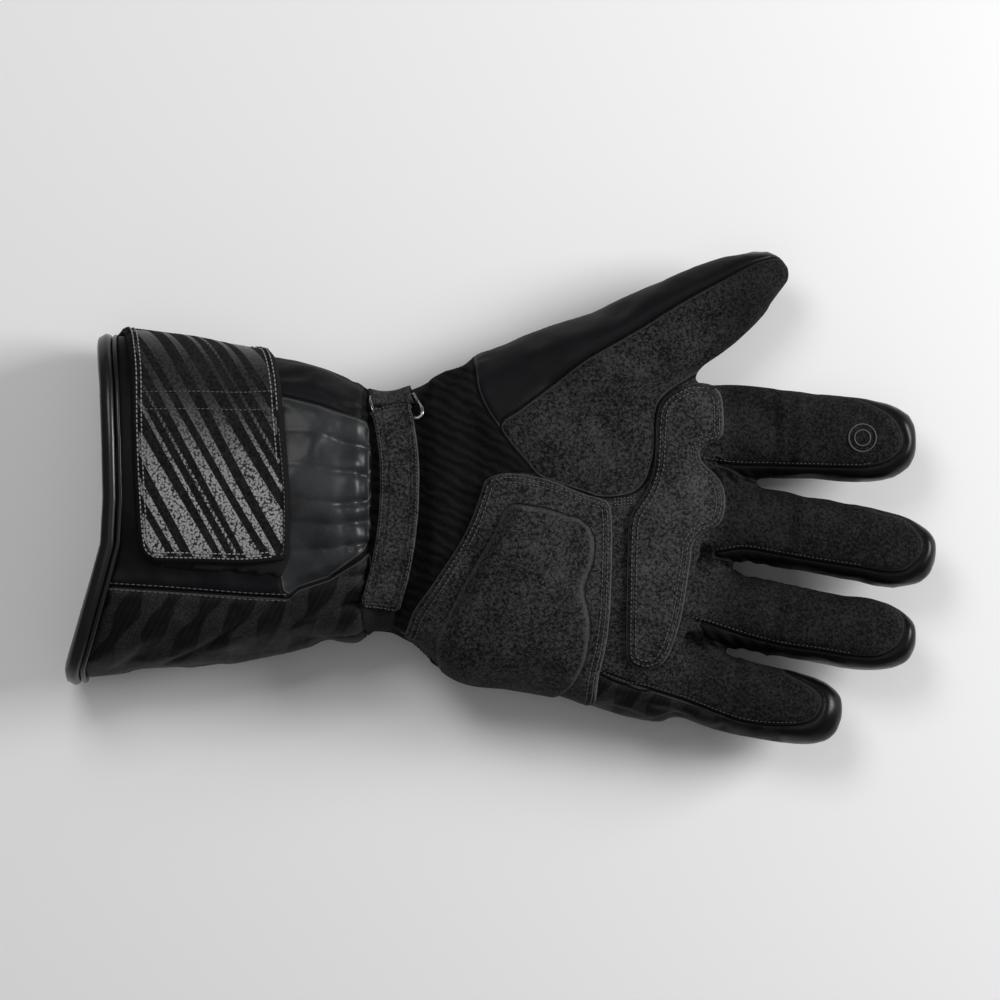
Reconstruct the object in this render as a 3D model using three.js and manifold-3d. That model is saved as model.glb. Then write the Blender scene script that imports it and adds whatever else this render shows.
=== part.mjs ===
// Padded gauntlet glove for a left hand, lying on its back with the palm up.
// Millimetres. +X runs from the mouth of the cuff to the fingertips, +Y to the thumb side, +Z up.
import * as THREE from "three";
import { mergeVertices } from "three/addons/utils/BufferGeometryUtils.js";
import Module from "manifold-3d";

const wasm = await Module();
wasm.setup();

// Main sizes
const CUFF_LENGTH = 116;
const MOUTH_WIDTH = 132;
const MOUTH_HEIGHT = 62;
const WRIST_LENGTH = 38.8;
const WRIST_WIDTH = 94;
const WRIST_HEIGHT = 48;
const HAND_LENGTH = 86;
const HAND_WIDTH = 132;
const HAND_HEIGHT = 44;
const THUMB_LENGTH = 91.5;
const THUMB_WIDTH = 40;
const THUMB_HEIGHT = 36;

// Cloth and fittings
const WALL = 4;
const GAP = 0.3;
const GATHER_DEPTH = 2.7;
const GATHER_FOLDS = 9;
const BINDING_WIDTH = 5.3;
const BINDING_ROLL = 1.5;
const FASTENER_THICKNESS = 1.4;
const FLAP_THICKNESS = 3;
const FLAP_ROOT_HEIGHT = 12;
const STRAP_WIDTH = 15.2;
const STRAP_THICKNESS = 2.6;
const WEBBING_WIDTH = 17;
const WEBBING_THICKNESS = 5.2;
const LOOP_LENGTH = 22;
const LOOP_WIRE = 2;
const LOOP_CORNER = 3.5;
const PATCH_THICKNESS = 1.6;
const PAD_THICKNESS = 4.2;

// Points round each section
const BODY_POINTS = 36;
const DIGIT_POINTS = 16;
const FINENESS = 0.18;
const FAR = 500;

// Rows of a table as objects, a name for each column
const named = (names, rows) =>
  rows.map((row) => Object.fromEntries(names.map((name, column) => [name, row[column]])));

// Sections from the mouth to the knuckles. along is a share of the part's length, thumb and little
// are the two edges as shares of its width, low and high are shares of its height.
const BODY_COLUMNS = ["along", "thumb", "little", "low", "high", "gather"];
const CUFF_SECTIONS = named(BODY_COLUMNS, [
  [-0.04, 0.505, -0.475, -0.03, 1.0, 0],
  [0.22, 0.5, -0.452, -0.03, 0.98, 0],
  [0.44, 0.478, -0.434, -0.03, 0.95, 0],
  [0.62, 0.445, -0.41, -0.02, 0.91, 0],
  [0.74, 0.437, -0.388, -0.01, 0.88, 0.25],
  [0.86, 0.415, -0.364, 0.02, 0.85, 0.8],
  [0.95, 0.375, -0.357, 0.05, 0.8, 1],
]);
const WRIST_SECTIONS = named(BODY_COLUMNS, [
  [0, 0.493, -0.497, 0.08, 1.0, 1],
  [0.2, 0.49, -0.48, 0.09, 0.98, 1],
  [0.4, 0.515, -0.53, 0.08, 0.98, 1],
  [0.65, 0.56, -0.606, 0.04, 0.98, 0.8],
  [0.85, 0.598, -0.662, 0, 0.97, 0.4],
]);
const HAND_SECTIONS = named(BODY_COLUMNS, [
  [0, 0.443, -0.487, -0.02, 1.04, 0.15],
  [0.17, 0.486, -0.501, -0.03, 1.06, 0],
  [0.34, 0.484, -0.516, -0.03, 1.04, 0],
  [0.52, 0.43, -0.552, -0.03, 1.0, 0],
  [0.7, 0.397, -0.58, -0.03, 0.95, 0],
  [0.88, 0.386, -0.6, -0.02, 0.9, 0],
  [1.1, 0.376, -0.615, 0, 0.84, 0],
]);

// Sections of a finger and of the thumb: width and height are shares of the digit's own sizes,
// side is the shift away from its axis as a share of its width, lift a share of its height.
const DIGIT_COLUMNS = ["along", "width", "height", "side", "lift"];
const FINGER_SECTIONS = named(DIGIT_COLUMNS, [
  [-0.3, 0.9, 1.1, 0, 0],
  [0.02, 0.96, 1.12, 0, 0],
  [0.3, 1.0, 1.02, 0, 0],
  [0.56, 0.95, 0.96, 0, 0.03],
  [0.75, 0.9, 0.88, 0, 0.07],
  [0.86, 0.82, 0.77, 0, 0.1],
  [0.94, 0.63, 0.57, 0, 0.12],
  [0.985, 0.37, 0.33, 0, 0.13],
  [1.0, 0.12, 0.11, 0, 0.13],
]);
const THUMB_SECTIONS = named(DIGIT_COLUMNS, [
  [-0.3, 1.0, 0.9, 0.27, -0.05],
  [0, 1.3, 1.15, 0, 0],
  [0.25, 1.06, 1.08, 0, 0.02],
  [0.38, 1.0, 1.02, 0, 0.04],
  [0.53, 0.92, 0.96, 0, 0.07],
  [0.72, 0.76, 0.86, 0, 0.12],
  [0.84, 0.61, 0.73, 0, 0.15],
  [0.93, 0.42, 0.52, 0, 0.17],
  [0.98, 0.24, 0.3, -0.02, 0.18],
  [1.0, 0.09, 0.1, -0.03, 0.18],
]);

// Digits: length is from the web to the tip; x and y are the root as shares of the hand's length and width
const DIGIT_HEIGHT_SHARE = 0.46;
const FINGERS = named(["name", "length", "width", "height", "angle", "x", "y"], [
  ["index", 79.5, 35, 29, -3.4, 1.034, 0.243],
  ["middle", 88, 32, 29, -9.9, 1.034, -0.009],
  ["ring", 84, 30.4, 28.5, -10.5, 0.995, -0.25],
  ["little", 64, 29.4, 27.5, -11.9, 0.898, -0.481],
]);
const THUMB = {
  name: "thumb", length: THUMB_LENGTH, width: THUMB_WIDTH, height: THUMB_HEIGHT, angle: 31, x: 0.468, y: 0.366,
};

// Lines on the palm, x as a share of the length and y as a share of the width of the part they lie on
const MOUTH_LINE = [
  [0.112, 0.62], [0.112, 0.495], [0.128, 0.36], [0.138, 0.18], [0.138, 0], [0.124, -0.13],
  [0.085, -0.246], [0.03, -0.36], [0.002, -0.44], [0.002, -0.6],
];
const GUSSET_LINE = [
  [-0.1, -0.19], [0.083, -0.199], [0.378, -0.219], [0.574, -0.23], [0.738, -0.239], [0.869, -0.181],
  [1.06, -0.1],
];
const FLAP_OUTLINE = [
  [0.201, 0.7], [0.201, 0.515], [0.227, 0.415], [0.24, 0.271], [0.247, 0.098], [0.253, -0.032],
  [0.266, -0.098], [0.29, -0.128], [0.32, -0.141], [0.443, -0.147], [0.69, -0.143], [0.728, -0.132],
  [0.744, -0.1], [0.748, -0.046], [0.748, 0.069], [0.738, 0.199], [0.722, 0.322], [0.695, 0.415],
  [0.649, 0.478], [0.62, 0.515], [0.6, 0.7],
];
const FASTENER_OUTLINE = [
  [0.36, 0.2], [0.36, -0.163], [0.574, -0.181], [0.729, -0.167], [0.723, 0.2],
];
const STRAP_LINE = [
  [0.269, 0.43], [0.299, 0.259], [0.309, 0.056], [0.255, -0.146], [0.186, -0.307], [0.13, -0.4],
];
const STRAP_PATCH_OUTLINE = [[-0.02, -0.33], [0.34, -0.33], [0.3, -0.46], [-0.04, -0.46]];
const WRIST_END_LINE = [[1.06, 0.8], [1.06, 0.14], [0.3, -0.5], [0.3, -0.9]];
const KNUCKLE_LINE = [
  [1.034, 0.8], [1.034, 0.127], [1.034, -0.118], [0.981, -0.248], [0.946, -0.334], [0.884, -0.478],
  [0.848, -0.8],
];
const THUMB_LOBE = [
  [0.004, 1.9], [0.004, 0.53], [0.013, 0.409], [0.049, 0.328], [0.11, 0.259], [0.186, 0.187],
  [0.278, 0.118], [0.389, 0.095], [0.499, 0.069], [0.601, 0.046], [0.698, 0.052], [0.76, 0.086],
  [0.795, 0.147], [0.809, 0.213], [0.813, 0.276], [0.84, 0.328], [0.901, 0.363], [0.972, 0.389],
  [1.034, 0.412], [2.4, 0.412], [2.4, 1.9],
];
const THUMB_BACK_OUTLINE = [[0.004, 1.9], [0.004, 0.41], [0.5, 0.34], [1.034, 0.41], [2.4, 0.41], [2.4, 1.9]];
const THUMB_SEAM = [
  [-0.2, 0.12], [0.124, 0.256], [0.3, 0.345], [0.478, 0.435], [0.743, 0.535], [0.92, 0.607], [1.096, 0.671],
  [1.23, 0.717], [1.36, 0.745], [1.6, 0.8], [1.6, 1.9], [-0.2, 1.9],
];
const HEEL_PATCH_OUTLINE = [
  [0.05, 0.085], [0.08, 0.104], [0.168, 0.127], [0.278, 0.112], [0.455, 0.066], [0.579, 0.043],
  [0.619, 0.012], [0.619, -0.132], [0.61, -0.276], [0.588, -0.392], [0.548, -0.507], [0.521, -0.62],
  [-0.3, -0.62], [-0.327, -0.42], [-0.318, -0.363], [-0.265, -0.299], [-0.141, -0.17], [-0.031, -0.055],
  [0.02, 0.035],
];
const HEEL_PAD_OUTLINE = [
  [0.203, 0.037], [0.323, 0.032], [0.433, 0.006], [0.513, -0.035], [0.548, -0.092], [0.535, -0.15],
  [0.499, -0.213], [0.521, -0.282], [0.526, -0.34], [0.508, -0.415], [0.46, -0.489], [0.389, -0.54],
  [0.124, -0.54], [-0.1, -0.505], [-0.17, -0.46], [-0.186, -0.406], [-0.159, -0.34], [-0.075, -0.239],
  [0.035, -0.112], [0.137, 0.006],
];
const GRIP_PATCH_OUTLINE = [
  [0.884, 0.372], [0.95, 0.38], [1.06, 0.37], [1.105, 0.351], [1.122, 0.271], [1.109, 0.207], [1.021, 0.187],
  [0.994, 0.158], [1.087, 0.115], [1.122, 0.063], [1.118, -0.017], [1.021, -0.058], [0.972, -0.092],
  [0.954, -0.181], [0.923, -0.299], [0.87, -0.4], [0.809, -0.443], [0.742, -0.455], [0.685, -0.432],
  [0.672, -0.363], [0.672, -0.219], [0.68, -0.089], [0.707, 0.0], [0.756, 0.035], [0.81, 0.08],
  [0.84, 0.14], [0.85, 0.213], [0.855, 0.276], [0.865, 0.33],
];

const PAD_STEPS = named(["inset", "rise"], [
  [0, 0.6],
  [0.4, 1],
]);

// Heights of the side seams and of the lowest edge of the patches
const HAND_SEAM_HEIGHT = 0.62 * HAND_HEIGHT;
const THUMB_SEAM_HEIGHT = 0.5 * HAND_HEIGHT;
const FINGER_SEAM_HEIGHT = 0.56 * HAND_HEIGHT;
const PATCH_WRAP_HEIGHT = 0.6 * HAND_HEIGHT;
const STRAP_PATCH_SHARE = 0.45;
const LOOP_OUTER_BAR = 1.01;
const LOOP_INNER_BAR = 0.79;
const LOOP_SEGMENTS = 28;

// Places in millimetres
const cuffPoint = ([x, y]) => [(x - 1) * CUFF_LENGTH, y * MOUTH_WIDTH];
const wristPoint = ([x, y]) => [x * WRIST_LENGTH, y * WRIST_WIDTH];
const handPoint = ([x, y]) => [WRIST_LENGTH + x * HAND_LENGTH, y * HAND_WIDTH];
const moved = (points, dx, dy = 0) => points.map(([x, y]) => [x + dx, y + dy]);

// Solids
function toSolid(geometry) {
  const bare = geometry.clone();
  bare.deleteAttribute("normal");
  bare.deleteAttribute("uv");
  const merged = mergeVertices(bare, 1e-4);
  const vertProperties = new Float32Array(merged.attributes.position.array);
  const triVerts = new Uint32Array(merged.index.array);
  return new wasm.Manifold(new wasm.Mesh({ numProp: 3, vertProperties, triVerts }));
}

// A cut may leave slivers beside the piece
const largest = (solid) =>
  solid.decompose().reduce((best, piece) => (piece.volume() > best.volume() ? piece : best));

// A skin through rings of equal counts, closed by a fan at each end
function loft(rings) {
  const count = rings[0].length;
  const middle = (ring) =>
    ring.reduce((sum, point) => sum.add(point), new THREE.Vector3()).divideScalar(count);
  const points = [...rings.flat(), middle(rings[0]), middle(rings[rings.length - 1])];
  const first = rings.length * count;
  const last = first + 1;
  const end = (rings.length - 1) * count;
  const faces = [];
  for (let i = 0; i < count; i += 1) {
    const next = (i + 1) % count;
    faces.push(first, next, i);
    faces.push(last, end + i, end + next);
    for (let r = 0; r + 1 < rings.length; r += 1) {
      const a = r * count;
      const b = a + count;
      faces.push(a + i, a + next, b + next);
      faces.push(a + i, b + next, b + i);
    }
  }
  const geometry = new THREE.BufferGeometry();
  geometry.setAttribute("position", new THREE.Float32BufferAttribute(points.flatMap((p) => p.toArray()), 3));
  geometry.setIndex(faces);
  return toSolid(geometry);
}

function prism(points, low = -FAR, high = FAR) {
  const shape = new THREE.Shape(points.map(([x, y]) => new THREE.Vector2(x, y)));
  const geometry = new THREE.ExtrudeGeometry(shape, { depth: high - low, bevelEnabled: false });
  return toSolid(geometry.translate(0, 0, low));
}

const slab = (low, high) => prism([[-FAR, -FAR], [FAR, -FAR], [FAR, FAR], [-FAR, FAR]], low, high);

// The outline moved outwards by a distance, corners mitred
function offset(points, distance) {
  const area = THREE.ShapeUtils.area(points.map(([x, y]) => new THREE.Vector2(x, y)));
  const turn = area > 0 ? 1 : -1;
  const count = points.length;
  return points.map((point, i) => {
    const here = new THREE.Vector2(...point);
    const before = new THREE.Vector2(...points[(i + count - 1) % count]);
    const after = new THREE.Vector2(...points[(i + 1) % count]);
    const arriving = here.clone().sub(before).normalize();
    const leaving = after.clone().sub(here).normalize();
    const normal = new THREE.Vector2(arriving.y + leaving.y, -arriving.x - leaving.x).normalize();
    const stretch = Math.max(0.5, normal.x * arriving.y - normal.y * arriving.x);
    return [here.x + (normal.x * turn * distance) / stretch, here.y + (normal.y * turn * distance) / stretch];
  });
}

// A ribbon of constant width along a line
function ribbon(line, width) {
  const sides = line.map(([x, y], i) => {
    const [ax, ay] = line[Math.max(0, i - 1)];
    const [bx, by] = line[Math.min(line.length - 1, i + 1)];
    const length = Math.hypot(bx - ax, by - ay);
    const nx = (-(by - ay) / length) * (width / 2);
    const ny = ((bx - ax) / length) * (width / 2);
    return [[x + nx, y + ny], [x - nx, y - ny]];
  });
  return [...sides.map(([left]) => left), ...sides.map(([, right]) => right).reverse()];
}

// Rounded section: the two halves have their own squareness
const SQUARE_PALM = 2.5;
const SQUARE_BACK = 3.2;
const bulge = (value, square) => Math.sign(value) * Math.abs(value) ** (2 / square);

// Sections of cuff, wrist and hand in millimetres
function scaled(sections, start, length, width, height) {
  return sections.map((row) => ({
    x: start + row.along * length,
    thumb: row.thumb * width,
    little: row.little * width,
    low: row.low * height,
    high: row.high * height,
    gather: row.gather * GATHER_DEPTH,
  }));
}
const BODY_ROWS = [
  ...scaled(CUFF_SECTIONS, -CUFF_LENGTH, CUFF_LENGTH, MOUTH_WIDTH, MOUTH_HEIGHT),
  ...scaled(WRIST_SECTIONS, 0, WRIST_LENGTH, WRIST_WIDTH, WRIST_HEIGHT),
  ...scaled(HAND_SECTIONS, WRIST_LENGTH, HAND_LENGTH, HAND_WIDTH, HAND_HEIGHT),
];

function bodyRing(row, grow, gathered) {
  const middleY = (row.thumb + row.little) / 2;
  const middleZ = (row.low + row.high) / 2;
  const ring = [];
  for (let i = 0; i < BODY_POINTS; i += 1) {
    const angle = (i / BODY_POINTS) * 2 * Math.PI;
    const fold = gathered ? row.gather * (0.5 + 0.5 * Math.cos(angle * GATHER_FOLDS)) : 0;
    const square = Math.sin(angle) > 0 ? SQUARE_PALM : SQUARE_BACK;
    const halfWidth = (row.thumb - row.little) / 2 + grow - fold;
    const halfHeight = (row.high - row.low) / 2 + grow - fold;
    const y = middleY + halfWidth * bulge(Math.cos(angle), square);
    const z = middleZ + halfHeight * bulge(Math.sin(angle), square);
    ring.push(new THREE.Vector3(row.x, y, z));
  }
  return ring;
}

const knuckles = KNUCKLE_LINE.map(handPoint);
const beforeKnuckles = (grow) => prism([[-FAR, -FAR], ...moved(knuckles, grow).reverse(), [-FAR, FAR]]);
const aboveRest = (grow) => slab(Math.max(0, -grow), FAR);

function body(grow, gathered = false) {
  return loft(BODY_ROWS.map((row) => bodyRing(row, grow, gathered))).intersect(beforeKnuckles(grow));
}

function digit({ length, width, height, angle, x, y }, sections, grow) {
  const turn = THREE.MathUtils.degToRad(angle);
  const forward = new THREE.Vector3(Math.cos(turn), Math.sin(turn), 0);
  const sideways = new THREE.Vector3(-Math.sin(turn), Math.cos(turn), 0);
  const [rootX, rootY] = handPoint([x, y]);
  const root = new THREE.Vector3(rootX, rootY, DIGIT_HEIGHT_SHARE * HAND_HEIGHT);
  const reach = (length + grow) / length;
  const rings = sections.map((row) => {
    const centre = root.clone().addScaledVector(forward, row.along * length * (row.along > 0 ? reach : 1));
    centre.addScaledVector(sideways, row.side * width);
    centre.z += row.lift * height;
    const halfWidth = Math.max(0.4, (row.width * width) / 2 + grow);
    const halfHeight = Math.max(0.4, (row.height * height) / 2 + grow);
    const ring = [];
    for (let i = 0; i < DIGIT_POINTS; i += 1) {
      const a = (i / DIGIT_POINTS) * 2 * Math.PI;
      const point = centre.clone().addScaledVector(sideways, halfWidth * bulge(Math.cos(a), 2.3));
      point.z += halfHeight * bulge(Math.sin(a), 2.3);
      ring.push(point);
    }
    return ring;
  });
  return loft(rings);
}

const finger = (index, grow) => digit(FINGERS[index], FINGER_SECTIONS, grow);
const thumb = (grow) => digit(THUMB, THUMB_SECTIONS, grow);

// The whole glove as one filled form, grown or shrunk by a distance
const forms = new Map();
function glove(grow) {
  if (!forms.has(grow)) {
    let form = body(grow).add(thumb(grow));
    FINGERS.forEach((_, index) => {
      form = form.add(finger(index, grow));
    });
    forms.set(grow, form.intersect(aboveRest(grow)));
  }
  return forms.get(grow);
}
const layer = (inner, outer) => glove(outer).subtract(glove(inner));
const hollow = glove(-WALL);

// Panels of cuff, wrist and hand
const between = (left, right) => prism([...left, ...[...right].reverse()]);
const wristStart = [[0, FAR], [0, -FAR]];
const wristEnd = WRIST_END_LINE.map(wristPoint);
const mouth = MOUTH_LINE.map(cuffPoint);
const skin = body(0, true).add(thumb(0)).intersect(aboveRest(0)).subtract(hollow);

const cuff = skin.intersect(between(moved(mouth, BINDING_WIDTH + GAP), wristStart));
const gussetArea = (clear) => prism([...moved(GUSSET_LINE.map(cuffPoint), 0, clear), [FAR, -FAR], [-FAR, -FAR]]);
const cuffPanel = cuff.subtract(gussetArea(GAP));
const cuffGusset = cuff.intersect(gussetArea(0));
const wrist = skin.intersect(between(moved(wristStart, GAP), wristEnd));
const hand = skin.intersect(between(moved(wristEnd, GAP), [[FAR, FAR], [FAR, -FAR]]));

// The thumb's panels reach over the palm in a lobe; behind, they end along the side of the hand
const lobe = THUMB_LOBE.map(handPoint);
const thumbBehind = THUMB_BACK_OUTLINE.map(handPoint);
const thumbSeam = THUMB_SEAM.map(handPoint);
const thumbArea = (clear) =>
  prism(offset(lobe, clear), THUMB_SEAM_HEIGHT - clear).add(
    prism(offset(thumbBehind, clear), -FAR, THUMB_SEAM_HEIGHT + clear),
  );
const thumbSkin = largest(hand.intersect(thumbArea(0)));
const thumbPalmArea = (clear) =>
  prism(lobe, THUMB_SEAM_HEIGHT - clear).subtract(prism(offset(thumbSeam, -clear)));
const thumbPalm = largest(thumbSkin.intersect(thumbPalmArea(0)));
const thumbBack = largest(thumbSkin.subtract(thumbPalmArea(GAP)));

const handSkin = hand.subtract(thumbArea(GAP));
const handPalm = largest(handSkin.intersect(slab(HAND_SEAM_HEIGHT + GAP / 2, FAR)));
const handBack = largest(handSkin.intersect(slab(-FAR, HAND_SEAM_HEIGHT - GAP / 2)));

// Fingers: tubes that end on the hand, each with a palm panel and a back panel
const fingers = FINGERS.map((_, index) => {
  let tube = finger(index, 0).subtract(hollow).subtract(body(GAP)).subtract(thumb(GAP));
  if (index > 0) {
    tube = tube.subtract(finger(index - 1, GAP));
  }
  return {
    palm: largest(tube.intersect(slab(FINGER_SEAM_HEIGHT + GAP / 2, FAR))),
    back: largest(tube.intersect(slab(-FAR, FINGER_SEAM_HEIGHT - GAP / 2))),
  };
});

// Rolled binding round the mouth: a band with a thicker middle
const smoothTube = (grow) =>
  body(grow).subtract(body(-WALL - grow).intersect(slab(WALL + grow, FAR)));
const strip = (from, to) => between(moved(mouth, BINDING_WIDTH * from), moved(mouth, BINDING_WIDTH * to));
const cuffBinding = smoothTube(0).intersect(strip(0, 1))
  .add(smoothTube(BINDING_ROLL).intersect(strip(0.2, 0.8)))
  .intersect(slab(0, FAR));

// Patches and straps lie on the smooth outside of the glove, one above the other
const over = (outline, inner, outer, low) =>
  body(outer).subtract(body(inner)).intersect(prism(outline, low));

const fastener = over(FASTENER_OUTLINE.map(cuffPoint), GAP, GAP + FASTENER_THICKNESS, MOUTH_HEIGHT / 2);
const flapInner = GAP + FASTENER_THICKNESS + GAP;
const flap = over(FLAP_OUTLINE.map(cuffPoint), flapInner, flapInner + FLAP_THICKNESS, FLAP_ROOT_HEIGHT);

const strapPatch = over(
  STRAP_PATCH_OUTLINE.map(wristPoint), GAP, GAP + FASTENER_THICKNESS, STRAP_PATCH_SHARE * WRIST_HEIGHT,
);
const strapLine = STRAP_LINE.map(wristPoint);
const strapInner = GAP + FASTENER_THICKNESS + GAP;
const strapBand = over(ribbon(strapLine, STRAP_WIDTH), strapInner, strapInner + STRAP_THICKNESS, WRIST_HEIGHT / 2);

// Wire loop: one bar runs through the folded webbing, the other through the fold of the strap
const loopRow = scaled(WRIST_SECTIONS, 0, WRIST_LENGTH, WRIST_WIDTH, WRIST_HEIGHT)[1];
const loopX = STRAP_LINE[0][0] * WRIST_LENGTH;
const loopLift = GAP + WEBBING_THICKNESS / 2;
function besideWrist(side) {
  const y = side * loopRow.thumb;
  const across = (y - (loopRow.thumb + loopRow.little) / 2) / ((loopRow.thumb - loopRow.little) / 2 + loopLift);
  const rise = (1 - across ** SQUARE_PALM) ** (1 / SQUARE_PALM);
  const halfHeight = (loopRow.high - loopRow.low) / 2 + loopLift;
  return new THREE.Vector3(loopX, y, (loopRow.low + loopRow.high) / 2 + halfHeight * rise);
}
const outerBar = besideWrist(LOOP_OUTER_BAR);
const innerBar = besideWrist(LOOP_INNER_BAR);
const loopCorners = [[outerBar, -1], [outerBar, 1], [innerBar, 1], [innerBar, -1]].map(([bar, end]) =>
  bar.clone().setX(loopX + (end * (LOOP_LENGTH - LOOP_WIRE)) / 2),
);
const loopPath = new THREE.CurvePath();
loopCorners.forEach((corner, i) => {
  const toward = (from, to) => from.clone().add(to.clone().sub(from).setLength(LOOP_CORNER));
  const before = loopCorners[(i + 3) % 4];
  const after = loopCorners[(i + 1) % 4];
  loopPath.add(new THREE.QuadraticBezierCurve3(toward(corner, before), corner, toward(corner, after)));
  loopPath.add(new THREE.LineCurve3(toward(corner, after), toward(after, corner)));
});
const loop = (grow) => toSolid(new THREE.TubeGeometry(loopPath, LOOP_SEGMENTS, LOOP_WIRE / 2 + grow, 6, true));
const block = (x0, x1, y0, y1) => [[x0, y0], [x1, y0], [x1, y1], [x0, y1]];
const seatLow = WRIST_HEIGHT * 0.42;
const webbingEnd = loopRow.thumb * (LOOP_OUTER_BAR * 0.45 + LOOP_INNER_BAR * 0.55) + GAP / 2;
const webbing = over(
  block(loopX - WEBBING_WIDTH / 2, loopX + WEBBING_WIDTH / 2, webbingEnd, FAR), GAP, GAP + WEBBING_THICKNESS, seatLow,
).subtract(loop(GAP));
const strapFold = over(
  block(loopX - STRAP_WIDTH / 2, loopX + STRAP_WIDTH / 2, loopRow.thumb * LOOP_INNER_BAR - LOOP_CORNER, webbingEnd - GAP),
  GAP, GAP + WEBBING_THICKNESS, seatLow,
);
const strap = strapBand.intersect(prism(block(-FAR, FAR, -FAR, webbingEnd - GAP))).add(strapFold).subtract(loop(GAP));

// Palm patches follow the glove with its digits; the pad is built up in steps like a moulded cushion
const palmPiece = (outline, inner, outer, low) => layer(inner, outer).intersect(prism(outline, low));
const patchOuter = GAP + PATCH_THICKNESS;
const patchLow = PATCH_WRAP_HEIGHT;
const heelPatch = palmPiece(HEEL_PATCH_OUTLINE.map(handPoint), GAP, patchOuter, patchLow);
const gripPatch = palmPiece(GRIP_PATCH_OUTLINE.map(handPoint), GAP, patchOuter, patchLow);
const padOutline = HEEL_PAD_OUTLINE.map(handPoint);
const padInner = patchOuter + GAP;
const heelPad = PAD_STEPS.map(({ inset, rise }) =>
  palmPiece(offset(padOutline, -inset * PAD_THICKNESS), padInner, padInner + rise * PAD_THICKNESS, patchLow),
).reduce((sum, step) => sum.add(step));

// Soft solids, colours and roughness
const LOOKS = {
  suede: { color: 0x2b2b2d, roughness: 0.95 },
  softshell: { color: 0x2a2c35, roughness: 0.7 },
  printed: { color: 0x303236, roughness: 0.8 },
  binding: { color: 0x17171a, roughness: 0.3 },
  fuzzy: { color: 0x18181a, roughness: 1 },
  grained: { color: 0x6a6a6e, roughness: 0.4 },
  metal: { color: 0x8a8c90, roughness: 0.3, metalness: 1 },
};
const group = new THREE.Group();
function place(name, look, whole) {
  const solid = whole.simplify(FINENESS);
  const mesh = solid.getMesh();
  const geometry = new THREE.BufferGeometry();
  geometry.setAttribute("position", new THREE.Float32BufferAttribute(mesh.vertProperties, 3));
  geometry.setIndex(Array.from(mesh.triVerts));
  geometry.computeVertexNormals();
  const part = new THREE.Mesh(geometry, new THREE.MeshStandardMaterial(LOOKS[look]));
  part.name = name;
  group.add(part);
}
place("cuff_panel", "softshell", cuffPanel);
place("cuff_gusset", "printed", cuffGusset);
place("cuff_binding", "binding", cuffBinding);
place("flap_fastener", "fuzzy", fastener);
place("closure_flap", "grained", flap);
place("wrist_section", "softshell", wrist);
place("strap_patch", "fuzzy", strapPatch);
place("wrist_strap", "suede", strap);
place("strap_webbing", "suede", webbing);
place("strap_loop", "metal", loop(0));
place("hand_palm", "suede", handPalm);
place("hand_back", "softshell", handBack);
place("thumb_palm", "suede", thumbPalm);
place("thumb_back", "softshell", thumbBack);
fingers.forEach(({ palm, back }, index) => {
  place(`${FINGERS[index].name}_palm`, "suede", palm);
  place(`${FINGERS[index].name}_back`, "softshell", back);
});
place("heel_patch", "suede", heelPatch);
place("heel_pad", "suede", heelPad);
place("grip_patch", "suede", gripPatch);

// The origin is the middle of the footprint, on the rest plane
const box = new THREE.Box3().setFromObject(group);
const middle = box.getCenter(new THREE.Vector3());
group.children.forEach((part) => part.geometry.translate(-middle.x, -middle.y, -box.min.z));

export default group;
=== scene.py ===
"""Looks of the padded gauntlet glove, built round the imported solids."""

import math

import bmesh
import bpy
import numpy as np
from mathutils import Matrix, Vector, noise
from mathutils.bvhtree import BVHTree


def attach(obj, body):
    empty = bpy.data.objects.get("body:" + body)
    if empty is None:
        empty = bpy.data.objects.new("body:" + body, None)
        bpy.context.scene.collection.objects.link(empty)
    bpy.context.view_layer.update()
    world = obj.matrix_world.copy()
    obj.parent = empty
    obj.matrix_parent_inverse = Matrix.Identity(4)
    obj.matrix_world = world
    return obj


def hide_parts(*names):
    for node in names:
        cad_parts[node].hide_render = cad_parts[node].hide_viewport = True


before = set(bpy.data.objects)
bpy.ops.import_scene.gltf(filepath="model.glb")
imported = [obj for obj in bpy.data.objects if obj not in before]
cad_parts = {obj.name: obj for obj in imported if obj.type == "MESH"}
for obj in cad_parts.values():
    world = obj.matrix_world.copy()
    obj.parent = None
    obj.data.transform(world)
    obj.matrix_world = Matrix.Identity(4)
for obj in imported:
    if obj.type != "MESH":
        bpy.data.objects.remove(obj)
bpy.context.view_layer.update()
FINGER_NAMES = ["index", "middle", "ring", "little"]

# Sizes in metres

MM = 0.001
CUFF_LENGTH, MOUTH_WIDTH, MOUTH_HEIGHT = 116 * MM, 132 * MM, 62 * MM
WRIST_LENGTH, WRIST_WIDTH, WRIST_HEIGHT = 38.8 * MM, 94 * MM, 48 * MM
HAND_LENGTH, HAND_WIDTH, HAND_HEIGHT = 86 * MM, 132 * MM, 44 * MM
WRIST_START = Vector((-49.48, -6.35, 0)) * MM
DIGIT_HEIGHT = 0.46 * HAND_HEIGHT
SQUARE_PALM, SQUARE_BACK, SQUARE_DIGIT = 2.5, 3.2, 2.3

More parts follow.
